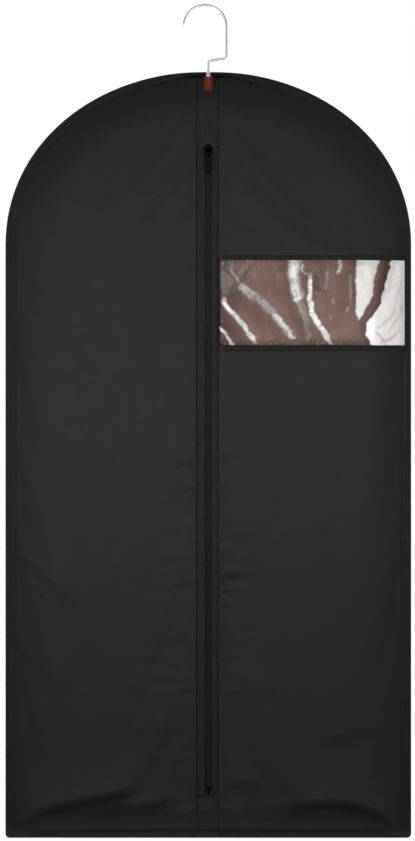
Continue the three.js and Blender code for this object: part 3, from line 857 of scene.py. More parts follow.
def lining():
    """The brown lining, which hangs a little in front of the back."""
    half, rise = INNER_HALF - LINING_INSET, LINING_CROWN - SPRING
    x, z = grid_between(-half, half, low("back_lining").z, LINING_CROWN, 7)
    depth = back_y(x, z) - LINING_DEPTH + 0.3 * waves(x, z, 120, 12) * fullness(x, z)
    grid = refine(np.stack([x, depth, z], -1), 2)
    up = np.maximum(grid[..., 2] - SPRING, 0) / rise
    keep = (np.abs(grid[..., 0]) / half) ** ARCH_POWER + up**ARCH_POWER <= 1.0001
    sheet_object(
        "lining_cloth", grid, "back_lining", keep=keep,
        thickness=LINING_THICKNESS, material=LINING, slot="lining_fabric",
    )


lining()

# ---------------------------------------------------------------- binding and tapes


def tape_along(
    name, line, inward, section, nodes, stitched, slot="binding_tape", closed=False, material=TAPE
):
    """A tape from a section carried along a 3-D line: its first axis runs inward, its second towards +Y.
    stitched gives the section places (inward, y) that carry a row of stitches."""
    points, faces = sweep(line, inward, BACKWARD, section, closed)
    sides = len(section)
    run = np.concatenate([[0], np.cumsum(np.linalg.norm(np.diff(line, axis=0), axis=1))])
    thread = spots(np.repeat(run, sides), np.tile(section[:, 0], len(line)), 0)
    # the tape is made paler along the cover's bottom edge
    paler_bottom = smooth((BOTTOM + 16 - points[:, 2]) / 7)
    marks = {"thread": thread, "paler_bottom": paler_bottom}
    mesh_object(name, points, faces, material, slot, stands_for=nodes, attributes=marks)
    rows = []
    for across, depth in stitched:
        row = line + inward * across + BACKWARD * depth
        row = np.concatenate([row, row[:1]]) if closed else row
        rows.append(stitches(row, (0, math.copysign(1, depth), 0)))
    mesh_object(name + "_stitches", *joined(rows), THREAD, slot)


def cover_outline(step=3.0):
    """The cover's outer edge, closed, from the bottom left corner anticlockwise as seen from the front."""
    corner = 6
    turn = np.linspace(0, math.pi / 2, 6)
    rise = CROWN - SPRING
    sweep_angle = np.linspace(0, math.pi, 241)
    arch_x = HALF * np.sign(np.cos(sweep_angle)) * np.abs(np.cos(sweep_angle)) ** (2 / ARCH_POWER)
    arch_z = SPRING + rise * np.sin(sweep_angle) ** (2 / ARCH_POWER)
    right_x = HALF - corner + corner * np.sin(turn)
    right_z = BOTTOM + corner - corner * np.cos(turn)
    xs = np.concatenate([right_x, arch_x, -right_x[::-1]])
    zs = np.concatenate([right_z, arch_z, right_z[::-1]])
    loop = np.stack([xs, zs], -1)
    loop = np.concatenate([loop, loop[:1]])
    return resample(loop, step)[:-1]


def closed_normals(loop):
    """Unit vectors square to a closed line in the XZ plane, pointing inwards for an anticlockwise one."""
    along = unit(np.roll(loop, -1, 0) - np.roll(loop, 1, 0))
    return np.stack([-along[:, 1], along[:, 0]], -1)


def edge_binding():
    """One folded tape round the whole cover. It swells a little between its stitches, and waves."""
    loop = cover_outline()
    inward = closed_normals(loop)
    x, z = loop[:, 0], loop[:, 1]
    wave = 0.35 * waves(x, z, 120, 3)
    neck = NECK_BACK * hump(x / NECK_SPREAD) * (z > SPRING)
    line = spots(x + inward[:, 0] * 0.2, neck + wave, z + inward[:, 1] * 0.2)
    inward = spots(inward[:, 0], 0, inward[:, 1])
    front = [(0.0, 0.0), (0.15, -0.7), (0.7, -1.15), (2.5, -1.4), (5, -1.3), (7.6, -1.38), (8.3, -1.2),
             (9.0, -1.4), (9.6, -1.35), (9.9, -0.9)]
    section = np.array(front + [(across, -depth) for across, depth in front[:0:-1]])
    sewn = [(8.3, -1.32), (8.3, 1.32)]
    nodes = ["edge_binding_left", "edge_binding_right", "edge_binding_bottom", "edge_binding_top"]
    tape_along("edge_binding_tape", line, inward, section, nodes, sewn, closed=True)


edge_binding()


def flat_section(width, thickness):
    """A tape's section, centred, with softened edges."""
    half, thick = width / 2, thickness / 2
    soft = min(thick, half) * 0.7
    right = [(half, -thick + soft), (half, thick - soft), (half - soft, thick)]
    left = [(-across, depth) for across, depth in right[::-1]]
    front = [(-half, -thick + soft), (-half + soft, -thick), (0, -thick * 1.15), (half - soft, -thick)]
    return np.array([(half, thick - soft), (half - soft, thick)] + left[:2] + front + [(half, -thick + soft)])


STRIP_LIFT = 0.85  # a window strip's middle, in front of the cloth's


def level_strip(name, node):
    """The bound edge over or under the window, which follows the front's form."""
    bottom, top = low(node).z, high(node).z
    x = np.arange(FOLD_RIGHT + 0.4, INNER_HALF + 3, 2.5)
    z = (bottom + top) / 2 + 0.25 * waves(x, 0 * x, 90, 17)
    line = spots(x, front_y(x, z) - STRIP_LIFT, z)
    width = top - bottom
    sewn = [(width / 2 - 1.1, -0.6), (1.1 - width / 2, -0.6)]
    tape_along(name, line, UPWARD, flat_section(width, 1.0), [node], sewn)


level_strip("window_tape_top", "window_strip_top")
level_strip("window_tape_bottom", "window_strip_bottom")


def upright_strip():
    """The narrow strip between the window and the zip."""
    node = "window_strip_left"
    z = np.arange(WINDOW_BOTTOM - 1, WINDOW_TOP + 2, 2.5)
    x = (low(node).x + high(node).x) / 2
    line = spots(x, front_y(x, z) - STRIP_LIFT, z)
    width = high(node).x - low(node).x
    tape_along("window_tape_left", line, RIGHTWARD, flat_section(width, 1.0), [node], [(0.3, -0.6)])


upright_strip()

# ---------------------------------------------------------------- neck and foot of the zip

PLACKET = 1.5  # how far the zip's strip lies behind the front's face
NOTCH_ROUND = 3.5


def in_notch(x, z, margin):
    """Which points lie within the notch for the hook, or less than a margin from it."""
    half = NOTCH_HALF + margin
    foot = NOTCH_BOTTOM - margin
    corner = NOTCH_ROUND + margin
    beyond = np.hypot(np.maximum(np.abs(x) - (half - corner), 0), np.maximum(foot + corner - z, 0))
    return (np.abs(x) < half) & (z > foot) & (beyond < corner)


def neck_cloth():
    """The cloth strip over the zip, gathered softly towards the slider and cut out for the hook."""
    x, z = grid_between(low("neck_panel").x - 2, high("neck_panel").x + 2, ZIP_TOP - 3, CROWN - 4, 0.8)
    y = front_y(x, z) + PLACKET - 0.9 * smooth((ZIP_TOP + 6 - z) / 6)
    away = z - ZIP_TOP
    fan = np.sin(x * 1.05 * 18 / (18 + 0.28 * away) + 0.5 * waves(x, z, 60, 21))
    fold = 0.75 * fan * hump((away - 14) / 26) * smooth(away / 5)
    slant, _, _ = distance_to(curve_through([(-15, -150), (-4, -172), (2, -196)]), x, z)
    other, _, _ = distance_to(curve_through([(13, -156), (7, -176), (3, -198)]), x, z)
    y = y + fold - 1.0 * hump(slant / 3.0) - 0.9 * hump(other / 3.0)
    grid = np.stack([x, y, z], -1)
    keep = inside_cover(grid) & ~in_notch(x, z, 0.6)
    sheet_object("neck_cloth", grid, "neck_panel", keep=keep)


neck_cloth()


def foot_cloth():
    """The strip under the zip's end."""
    x, z = grid_between(low("foot_panel").x - 2, high("foot_panel").x + 2, FOOT, TAPE_BOTTOM + 1, 1.2)
    y = front_y(x, z) + PLACKET * np.clip((z - INNER_BOTTOM) / 30, 0, 1)
    y = y + 0.5 * waves(x, z * 0.4, 22, 26) * smooth((z - INNER_BOTTOM) / 12)
    sheet_object("foot_cloth", spots(x, y, z), "foot_panel")


foot_cloth()


def notch_tape():
    """A narrow tape folded over the edge of the notch."""
    turn = np.linspace(0, math.pi / 2, 7)
    corner_x = NOTCH_HALF - NOTCH_ROUND + NOTCH_ROUND * np.cos(turn)
    corner_z = NOTCH_BOTTOM + NOTCH_ROUND - NOTCH_ROUND * np.sin(turn)
    straight = [(NOTCH_HALF, z) for z in np.arange(high("notch_binding").z, corner_z[0], -1.5)]
    right = np.concatenate([straight, np.stack([corner_x, corner_z], -1)])
    left = right[::-1] * [-1, 1]
    outline = resample(np.concatenate([right, left]), 0.8)
    along = directions(outline)
    outward = spots(-along[:, 1], 0, along[:, 0])
    if outward[0, 0] < 0:
        outward = -outward
    x, z = outline[:, 0], outline[:, 1]
    line = spots(x, front_y(x, z) + PLACKET, z)
    section = np.array([(-0.2, -0.5), (0.1, -0.78), (1.1, -0.85), (2.0, -0.7), (2.1, 0.0),
                        (2.0, 0.7), (1.1, 0.85), (0.1, 0.78), (-0.2, 0.5)])
    tape_along("notch_tape", line, outward, section, ["notch_binding"], [(1.5, -0.8)])


notch_tape()


def neck_hem():
    """The rolled edge of the front where the hanger's neck holds it off the binding."""
    x = np.arange(-NECK_CLEAR, NECK_CLEAR + 1, 2.0)
    runs = [x[x < FOLD_LEFT - 1], x[x > FOLD_RIGHT + 1]]
    parts = []
    for run in runs:
        z = SPRING + INNER_RISE * (1 - (np.abs(run) / INNER_HALF) ** ARCH_POWER) ** (1 / ARCH_POWER) - 0.4
        line = spots(run, front_y(run, z), z)
        parts.append(sweep(line, BACKWARD, UPWARD, circle(0.75, 10) * [1, 1.5]))
    points, faces = joined(parts)
    mesh_object("neck_hem", points, faces, CLOTH, "cover_fabric")


neck_hem()

# ---------------------------------------------------------------- zip


def zip_tape(node):
    """A woven tape, stitched along beside the coil."""
    left, right = low(node).x, high(node).x
    z = np.linspace(TAPE_BOTTOM, ZIP_TOP, 240)
    middle, depth = (left + right) / 2, (TAPE_FRONT + TAPE_BACK) / 2
    line = spots(middle, depth, z)
    section = flat_section(right - left, TAPE_BACK - TAPE_FRONT)
    side = 1 if middle > 0 else -1
    sewn = [(side * (COIL_OUTER + 2.2) - middle, TAPE_FRONT - depth - 0.02)]
    name = node.replace("zip_tape", "zip_woven_tape")
    tape_along(name, line, RIGHTWARD, section, [node], sewn, "zip_tape", material=ZIP_TAPE)


zip_tape("zip_tape_left")
zip_tape("zip_tape_right")

COIL_PITCH = 1.5
WIRE = 0.36
LOOP_POINTS = 12


def coil(side, node):
    """One monofilament wound into flat loops whose heads reach across the middle."""
    top, bottom = COIL_TOP, COIL_BOTTOM
    turns = (top - bottom) / COIL_PITCH - 1
    angle = np.linspace(0, turns * 2 * math.pi, int(turns * LOOP_POINTS))
    swing = np.cos(angle)
    inner, outer = -0.55, COIL_OUTER - WIRE
    x = (inner + outer) / 2 - (outer - inner) / 2 * np.sign(swing) * np.abs(swing) ** 0.75
    middle = (COIL_FRONT + high(node).y) / 2
    rise = (high(node).y - COIL_FRONT) / 2 - WIRE
    lift = rise * np.sign(np.sin(angle)) * np.abs(np.sin(angle)) ** 0.6
    z = top - WIRE - COIL_PITCH * angle / (2 * math.pi) - (COIL_PITCH / 2 if side > 0 else 0)
    line = spots(side * x, middle + lift, z)
    along = directions(line)
    across = unit(np.cross(along, UPWARD))
    head = 1 + 0.35 * hump((x - inner) / 0.7)
    section = circle(WIRE, 6)[None] * np.stack([np.ones(len(x)), head], -1)[:, None]
    points, faces = sweep(line, across, np.cross(across, along), section)
    name = node.replace("zip_coil", "zip_coil_loops")
    mesh_object(name, points, faces, COIL, "zip_coil", stands_for=[node])
    row = spots(side * 3.0, COIL_FRONT - 0.02, np.arange(bottom + 2, top - 2, 3.0))
    name = node.replace("zip_coil", "zip_coil_sewing")
    mesh_object(name, *stitches(row, (0, -1, 0)), THREAD, "zip_coil")


coil(-1, "zip_coil_left")
coil(1, "zip_coil_right")

# ---------------------------------------------------------------- plates cut from an outline


def plate_mesh(outlines, front, back, bevel, steps=3):
    """Points and faces of a plate in the XZ plane with rounded edges; later outlines are holes."""
    curve = bpy.data.curves.new("plate", "CURVE")
    curve.dimensions = "2D"
    curve.fill_mode = "BOTH"
    curve.extrude = (back - front) / 2 - bevel
    curve.bevel_depth = bevel
    curve.bevel_resolution = steps
    curve.offset = -bevel
    for outline in outlines:
        spline = curve.splines.new("POLY")
        spline.points.add(len(outline) - 1)
        spline.points.foreach_set("co", np.array([(x, z, 0, 1) for x, z in outline], float).ravel())
        spline.use_cyclic_u = True
    plate = bpy.data.objects.new("plate", curve)
    scene.collection.objects.link(plate)
    mesh = bpy.data.meshes.new_from_object(plate.evaluated_get(bpy.context.evaluated_depsgraph_get()))
    made = bmesh.new()
    made.from_mesh(mesh)
    bmesh.ops.remove_doubles(made, verts=made.verts, dist=0.002)
    made.verts.index_update()
    middle = (front + back) / 2
    points = np.array([(v.co.x, middle - v.co.z, v.co.y) for v in made.verts])
    faces = [[v.index for v in f.verts] for f in made.faces]
    made.free()
    bpy.data.objects.remove(plate)
    return points, faces


def rounded(corners, radius, steps=5):
    """A closed outline with its corners rounded. radius may be one value or one for each corner."""
    corners = np.asarray(corners, float)
    radii = np.broadcast_to(radius, len(corners))
    outline = []
    for i, corner in enumerate(corners):
        before, after = corners[i - 1] - corner, corners[(i + 1) % len(corners)] - corner
        start = corner + unit(before) * radii[i]
        end = corner + unit(after) * radii[i]
        outline.extend(bezier((start, corner, end), np.linspace(0, 1, steps)))
    return outline


def block(x0, x1, y0, y1, z0, z1, bevel):
    """A small block with rounded edges."""
    return plate_mesh([rounded([(x0, z0), (x1, z0), (x1, z1), (x0, z1)], bevel * 1.5, 4)], y0, y1, bevel, 2)


for stop in ("top_stop_left", "top_stop_right", "bottom_stop"):
    near, far = low(stop), high(stop)
    shape = block(near.x, far.x, near.y, far.y, near.z, far.z, 0.5)
    crimp = block(near.x + 0.5, far.x - 0.5, near.y - 0.15, near.y + 0.5, near.z + 1.2, far.z - 1.2, 0.2)
    points, faces = joined([shape, crimp])
    mesh_object(stop.replace("stop", "clamp"), points, faces, ENAMEL, "zip_metal", stands_for=[stop])

# ---------------------------------------------------------------- slider and pull

SLIDER_FRONT = low("slider_body").y
SLIDER_BACK = high("slider_body").y
SLIDER_TOP = high("slider_body").z
SLIDER_FOOT = low("slider_body").z
SLIDER_HALF = high("slider_body").x
PLATE = 1.6


def slider_outline(inset=0.0):
    half, foot, top = SLIDER_HALF - inset, SLIDER_FOOT + inset, SLIDER_TOP - inset
    corners = [(-half + 1.7, foot), (half - 1.7, foot), (half - 1.2, foot + 4), (half, foot + 8), (half, top),
               (0.0, top - 0.6), (-half, top), (-half, foot + 8), (-half + 1.2, foot + 4)]
    return rounded(corners, [1.2, 1.2, 1.5, 1.5, 2.2, 2.0, 2.2, 1.5, 1.5])


def slider():
    """Two plates on a post, with side walls that guide the coils and a raised field in front."""
    front_plate = plate_mesh([slider_outline()], SLIDER_FRONT, SLIDER_FRONT + PLATE, 0.55)
    back_plate = plate_mesh([slider_outline()], SLIDER_BACK - PLATE, SLIDER_BACK, 0.5)
    raised = plate_mesh([slider_outline(1.9)], SLIDER_FRONT - 0.28, SLIDER_FRONT + 0.5, 0.25)
    walls = []
    for side in (-1, 1):
        middle = side * (SLIDER_HALF - 0.9)
        y0, y1 = SLIDER_FRONT + 1, TAPE_FRONT - 0.5
        z0, z1 = SLIDER_FOOT + 3.2, SLIDER_TOP - 1.2
        walls.append(block(middle - 0.75, middle + 0.75, y0, y1, z0, z1, 0.3))
    post = block(-0.5, 0.5, SLIDER_FRONT + 0.6, SLIDER_BACK - 0.6, SLIDER_TOP - 4, SLIDER_TOP - 0.9, 0.15)
    shape = joined([front_plate, back_plate, raised, *walls, post])
    mesh_object("slider_casting", *shape, ENAMEL, "zip_metal", "slider", stands_for=["slider_body"])


slider()

BAIL_FRONT = low("slider_bail").y
BAIL_TOP = high("slider_bail").z
BAIL_FOOT = low("slider_bail").z
PULL_FRONT = low("pull_tab").y
PULL_BACK = high("pull_tab").y
PULL_TOP = high("pull_tab").z
PULL_FOOT = low("pull_tab").z
PULL_HALF = high("pull_tab").x


def bail():
    """The bridge that the pull hangs from: a flat wire arched over the slider's face."""
    middle = (BAIL_TOP + BAIL_FOOT) / 2
    reach = (BAIL_TOP - BAIL_FOOT) / 2 - 0.4
    angle = np.linspace(0, math.pi, 17)
    stand = SLIDER_FRONT + 0.2
    height = stand - BAIL_FRONT - 0.35
    y = stand - height * np.sin(angle) ** 0.55
    z = middle + reach * np.cos(angle)
    line = spots(0, y, z)
    section = circle(1, 12) * [high("slider_bail").x - 0.05, 0.38]
    points, faces = sweep(line, RIGHTWARD, np.cross(directions(line), RIGHTWARD), section)
    mesh_object("slider_bridge", points, faces, ENAMEL, "zip_metal", "slider", stands_for=["slider_bail"])


bail()


def pull():
    """A flat pull with a slot at the bridge and a round hole near its end."""
    half, top, foot = PULL_HALF, PULL_TOP, PULL_FOOT
    corners = [(-half, foot), (half, foot), (half - 0.1, foot + 14),
               (2.9, top), (-2.9, top), (-half + 0.1, foot + 14)]
    outline = rounded(corners, [3.6, 3.6, 4, 1.4, 1.4, 4], 9)
    slot = rounded([(-1.8, top - 1.3), (-1.8, top - 6.1), (1.8, top - 6.1), (1.8, top - 1.3)], 0.8)
    hole = circle(1.6, 28)[::-1] + [0, foot + 4.1]
    shape = plate_mesh([outline, slot, hole], PULL_FRONT, PULL_BACK, 0.4, 4)
    ridge_foot, ridge_top = foot + 8.5, top - 9
    field = rounded([(-2.2, ridge_foot), (2.2, ridge_foot), (2.0, ridge_top), (-2.0, ridge_top)], 1.2)
    raised = plate_mesh([field], PULL_FRONT - 0.22, PULL_FRONT + 0.4, 0.2)
    points, faces = joined([shape, raised])
    mesh_object("zip_pull", points, faces, ENAMEL, "zip_metal", "pull_tab", stands_for=["pull_tab"])


pull()

# ---------------------------------------------------------------- hook and hanger

HOOK_WIRE = high("hook").y
CROOK_RADIUS = 31.8
CRANK_Z = -80
CRANK_SLOPE = 0.15
STEM_BEND = 5.5
SHANK_BEND = 4
HOOK_STEP = 0.9  # between the points along the wire


def bend(x, z, radius, start, end):
    """An arc round a centre, between two angles."""
    angle = np.linspace(start, end, max(int(abs(end - start) * radius / 0.8), 8))
    return np.stack([x + radius * np.cos(angle), z + radius * np.sin(angle)], -1)


def hook_line():
    """The wire's middle in the XZ plane, from the foot of the stem to the tip."""
    shank = high("hook").x - HOOK_WIRE
    sin, cos, tan = math.sin(CRANK_SLOPE), math.cos(CRANK_SLOPE), math.tan(CRANK_SLOPE)
    start_x, end_x = STEM_BEND * (1 - sin), shank - SHANK_BEND * (1 - sin)
    end_z = CRANK_Z + (end_x - start_x) * tan
    crook_z = HOOK_WIRE - CROOK_RADIUS
    pieces = [
        [(0, low("hook").z)],
        bend(STEM_BEND, CRANK_Z - STEM_BEND * cos, STEM_BEND, math.pi, math.pi / 2 + CRANK_SLOPE),
        bend(shank - SHANK_BEND, end_z + SHANK_BEND * cos, SHANK_BEND, CRANK_SLOPE - math.pi / 2, 0),
        bend(shank - CROOK_RADIUS, crook_z, CROOK_RADIUS, 0, math.pi * 0.975),
    ]
    return resample(np.concatenate(pieces), HOOK_STEP)


def hook():
    """The bent wire, rounded off at its tip."""
    path = hook_line()
    line = spots(path[:, 0], 0, path[:, 1])
    from_tip = np.arange(len(line))[::-1] * HOOK_STEP
    from_round = 1 - np.clip((from_tip + 0.05) / HOOK_WIRE, 0, 1)
    size = np.sqrt(np.clip(1 - from_round**2, 0.02, 1))
    section = circle(HOOK_WIRE, 24)[None] * size[:, None, None]
    points, faces = sweep(line, np.cross(directions(line), BACKWARD), BACKWARD, section)
    mesh_object("hook_wire", points, faces, NICKEL, "steel", "hook", stands_for=["hook"])


hook()


def turned(profile, sides=40):
    """A solid of revolution round Z from (radius, z) pairs, closed along its own profile."""
    profile = np.asarray(profile, float)
    angle = np.arange(sides) * 2 * math.pi / sides
    outward = spots(np.cos(angle), np.sin(angle), 0)
    return sweep(np.zeros((sides, 3)), outward, UPWARD, profile, closed=True)


def ferrule():
    """The plated collar that the stem turns in."""
    foot, top = low("ferrule").z, high("ferrule").z
    wide, bore = high("ferrule").x, HOOK_WIRE + 0.25
    profile = [(bore, foot), (wide - 0.2, foot), (wide, foot + 0.3), (wide, foot + 1.1),
               (wide - 0.3, foot + 1.5), (wide - 0.8, foot + 2.4), (wide - 1.2, foot + 4.2),
               (bore + 0.75, top - 0.7), (bore + 0.5, top - 0.15), (bore + 0.25, top), (bore, top - 0.1)]
    mesh_object("neck_ferrule", *turned(profile), NICKEL, "steel", stands_for=["ferrule"])


ferrule()


def nut():
    """The six-sided nut that holds the stem in the hanger."""
    foot, top = low("hook_nut").z, high("hook_nut").z
    bore, flat_radius = HOOK_WIRE - 0.1, high("hook_nut").x
    profile = [(bore, foot), (flat_radius - 0.9, foot), (flat_radius + 0.1, foot + 0.6),
               (flat_radius + 0.1, top - 0.6), (flat_radius - 0.9, top), (bore, top)]
    points, faces = turned(profile, 6)
    mesh_object(
        "stem_nut", points, faces, NICKEL, "steel", "hook", stands_for=["hook_nut"], shade_smooth=False
    )


nut()


def hanger_outline():
    """The hanger's edge, clockwise from the middle of its crown, as cubic and quadratic curves."""
    crown = high("hanger_body").z
    end, inner = high("hanger_body").x, high("hanger_body").x - 21
    underside = -160
    foot = low("hanger_body").z
    bar = (high("trouser_bar").z + low("trouser_bar").z) / 2

    def curve(*controls):
        return bezier(controls, np.linspace(0, 1, 25)[1:])

    right = np.concatenate([
        [(0, crown), (7.0, crown), (7.6, crown - 3)],
        curve((7.6, crown - 3), (8.7, crown - 12), (26, crown - 16)),
        curve((26, crown - 16), (70, crown - 28), (150, crown - 48), (end - 8, crown - 92)),
        curve((end - 8, crown - 92), (end, crown - 96), (end, crown - 104)),
        curve((end, foot + 8), (end, foot), (end - 10.5, foot)),
        curve((end - 10.5, foot), (inner, foot), (inner, foot + 9)),
        [(inner, bar + 12)],
        curve((inner, bar + 12), (130, underside - 12), (40, underside)),
        [(0, underside)],
    ])
    return np.concatenate([right, right[-2:0:-1] * [-1, 1]])


def hanger():
    """The flat wooden hanger, with broadly rounded edges."""
    near, far = low("hanger_body"), high("hanger_body")
    points, faces = plate_mesh([hanger_outline()], near.y, far.y, 4.2, 6)
    mesh_object("hanger_wood", points, faces, WOOD, "hanger_wood", stands_for=["hanger_body"])


hanger()

ROD_SHOULDER = 9  # how far from each end the rod steps down to its spigot


def trouser_bar():
    """A wooden rod with a scored ring and a narrower spigot at each end."""
    reach = high("trouser_bar").x - 9
    middle = (low("trouser_bar").z + high("trouser_bar").z) / 2
    radius = high("trouser_bar").y
    x = np.linspace(-reach, reach, 121)
    line = spots(x, 0, middle)
    spigot = smooth((np.abs(x) - reach + ROD_SHOULDER) / 3)
    size = 1 - 0.3 * spigot - 0.03 * hump((np.abs(x) - reach + ROD_SHOULDER + 5) / 1.5)
    section = circle(radius, 28)[None] * size[:, None, None]
    points, faces = sweep(line, BACKWARD, UPWARD, section)
    mesh_object("trouser_rod", points, faces, WOOD, "hanger_wood", stands_for=["trouser_bar"])


trouser_bar()


def screw(node, name):
    """A countersunk screw head with a slot, on the hanger's end."""
    near, far = low(node), high(node)
    side = 1 if near.x > 0 else -1
    outer, inner = (far.x, near.x) if side > 0 else (near.x, far.x)
    middle = (near.z + far.z) / 2
    head = (far.z - near.z) / 2
    length = abs(outer - inner)
    profile = [(0.01, 0.0), (head - 0.3, 0.0), (head, 0.35), (head, 0.8), (1.7, 3.0), (1.7, length),
               (0.01, length)]
    points, faces = turned(profile, 28)
    points = spots(outer - side * points[:, 2], points[:, 1], middle + points[:, 0])
    x0, x1 = sorted((outer + side * 0.05, outer - side * 0.4))
    slot = block(x0, x1, -head * 0.72, head * 0.72, middle - 0.4, middle + 0.4, 0.1)
    mesh_object(name, *joined([(points, faces), slot]), NICKEL, "steel", stands_for=[node])


screw("bar_screw_left", "end_screw_left")
screw("bar_screw_right", "end_screw_right")

# ---------------------------------------------------------------- clear window

FILM_CELL = 1.3
FILM_LAP = 3
FILM_THICKNESS = 0.3
FILM_SET_BACK = 0.75

# Places across and down the window, 0 to 1, then width in mm, brightness of the whitening and painted
# highlight, height in mm, and which side of the line is steep.
STREAKS = [
    ([(0.085, 0.015), (0.075, 0.1), (0.10, 0.2), (0.12, 0.3)], 5.0, 0.5, 1.2, 1),
    ([(0.11, 0.26), (0.15, 0.34), (0.24, 0.49), (0.31, 0.65), (0.42, 0.97)], 14.0, 0.58, 2.4, 1),
    ([(0.30, 0.63), (0.35, 0.76), (0.415, 0.95)], 7.5, 0.92, 0.6, 1),
    ([(0.025, 0.43), (0.05, 0.54), (0.10, 0.66), (0.16, 0.83), (0.21, 1.0)], 8.5, 0.95, 1.8, 1),
    ([(0.0, 0.77), (0.045, 0.88), (0.085, 1.02)], 5.5, 0.9, 1.3, 1),
    ([(0.405, -0.05), (0.40, 0.18), (0.415, 0.38), (0.43, 0.5)], 19.0, 0.95, 2.4, -1),
    ([(0.42, 0.4), (0.445, 0.55), (0.465, 0.7), (0.478, 0.97)], 11.0, 0.45, 1.8, -1),
    ([(0.44, 0.0), (0.455, 0.06), (0.45, 0.1), (0.485, 0.19)], 3.4, 0.7, 0.8, 1),
    ([(0.49, 0.14), (0.497, 0.34), (0.495, 0.49), (0.52, 0.68), (0.565, 0.83), (0.61, 1.0)],
     10.0, 1.0, 2.4, 1),
    ([(0.585, 0.06), (0.58, 0.2), (0.565, 0.37)], 5.0, 0.3, 1.0, -1),
    ([(0.65, -0.04), (0.652, 0.08), (0.64, 0.17)], 6.5, 0.75, 0.9, 1),
    ([(0.705, 0.15), (0.712, 0.35), (0.705, 0.55)], 4.5, 0.25, 0.9, 1),
    ([(0.61, 0.44), (0.62, 0.52)], 3.4, 0.5, 0.5, 1),
    ([(0.598, 0.62), (0.602, 0.69)], 3.8, 0.6, 0.5, 1),
    ([(0.685, 0.53), (0.695, 0.61)], 3.2, 0.4, 0.5, 1),
]

DARK_CREASES = [  # places, width and depth in mm of the grooves that stay clear
    ([(0.19, 0.0), (0.13, 0.2), (0.06, 0.45)], 3.0, 1.6),
    ([(0.53, 0.16), (0.525, 0.3), (0.52, 0.42)], 3.0, 1.2),
    ([(0.91, 0.0), (0.868, 0.34), (0.828, 0.57), (0.773, 0.74)], 5.0, 2.2),
    ([(0.28, 0.0), (0.3, 0.3), (0.27, 0.62), (0.3, 1.0)], 9.0, 1.0),
]

SHADES = [  # places, width in mm and darkness of the shadowed creases
    ([(0.195, -0.03), (0.14, 0.2), (0.11, 0.3), (0.05, 0.47)], 2.2, 0.6),
    ([(0.52, 0.14), (0.53, 0.25), (0.522, 0.45)], 6.5, 0.6),
    ([(0.53, -0.02), (0.545, 0.1), (0.56, 0.2)], 5.0, 0.3),
    ([(0.135, 0.33), (0.22, 0.52), (0.28, 0.66), (0.37, 0.93)], 1.8, 0.4),
    ([(0.455, 0.66), (0.47, 0.8), (0.46, 0.93)], 4.5, 0.45),
    ([(0.28, 0.3), (0.282, 0.6), (0.281, 0.99)], 0.9, 0.4),
    ([(0.0, 0.7), (0.05, 0.82), (0.1, 1.0)], 1.6, 0.35),
    ([(0.375, 0.94), (0.42, 0.95)], 4.0, 0.8),
    ([(0.885, 0.0), (0.87, 0.2), (0.85, 0.4), (0.8, 0.62)], 3.0, 0.3),
    ([(0.74, 0.0), (0.732, 0.3), (0.735, 0.62)], 1.4, 0.45),
    ([(0.995, 0.2), (0.96, 0.42), (0.94, 0.62)], 4.0, 0.16),
    ([(1.0, 0.5), (0.965, 0.68), (0.9, 0.88)], 4.4, 0.2),
    ([(0.955, 0.56), (0.9, 0.72), (0.845, 0.8)], 4.0, 0.26),
    ([(0.97, 0.82), (0.93, 0.92), (0.87, 0.97)], 3.4, 0.34),
    ([(0.945, -0.05), (0.925, 0.12), (0.91, 0.3), (0.875, 0.5)], 9.0, 0.3),
    ([(0.84, 0.84), (0.87, 0.9), (0.9, 0.99)], 2.4, 0.5),
]

BRIGHT_FIELDS = [  # corners of the broad fields of painted highlight, how bright they are and how crumpled
    ([(0.735, -0.05), (0.87, -0.05), (0.835, 0.23), (0.83, 0.42), (0.80, 0.54), (0.752, 0.73),
      (0.735, 0.62)], 0.76, 0.1),
    ([(0.935, -0.05), (1.05, -0.05), (1.05, 1.05), (0.83, 1.05), (0.79, 0.88), (0.795, 0.74), (0.865, 0.54),
      (0.90, 0.26)], 1.0, 0.14),
]


# a corner painted faintly pale, as a weak painted highlight
PALE_HIGHLIGHT_CORNER = [(-0.05, -0.05), (0.19, -0.05), (0.05, 0.47), (-0.05, 0.6)]


def inside_polygon(corners, u, v):
    """Which places lie within a polygon, by counting its edges to one side of each."""
    inside = np.zeros(u.shape, bool)
    for (u0, v0), (u1, v1) in zip(corners, corners[1:] + corners[:1]):
        if v0 != v1:
            crosses = (v0 > v) != (v1 > v)
            inside ^= crosses & (u < u0 + (v - v0) / (v1 - v0) * (u1 - u0))
    return inside


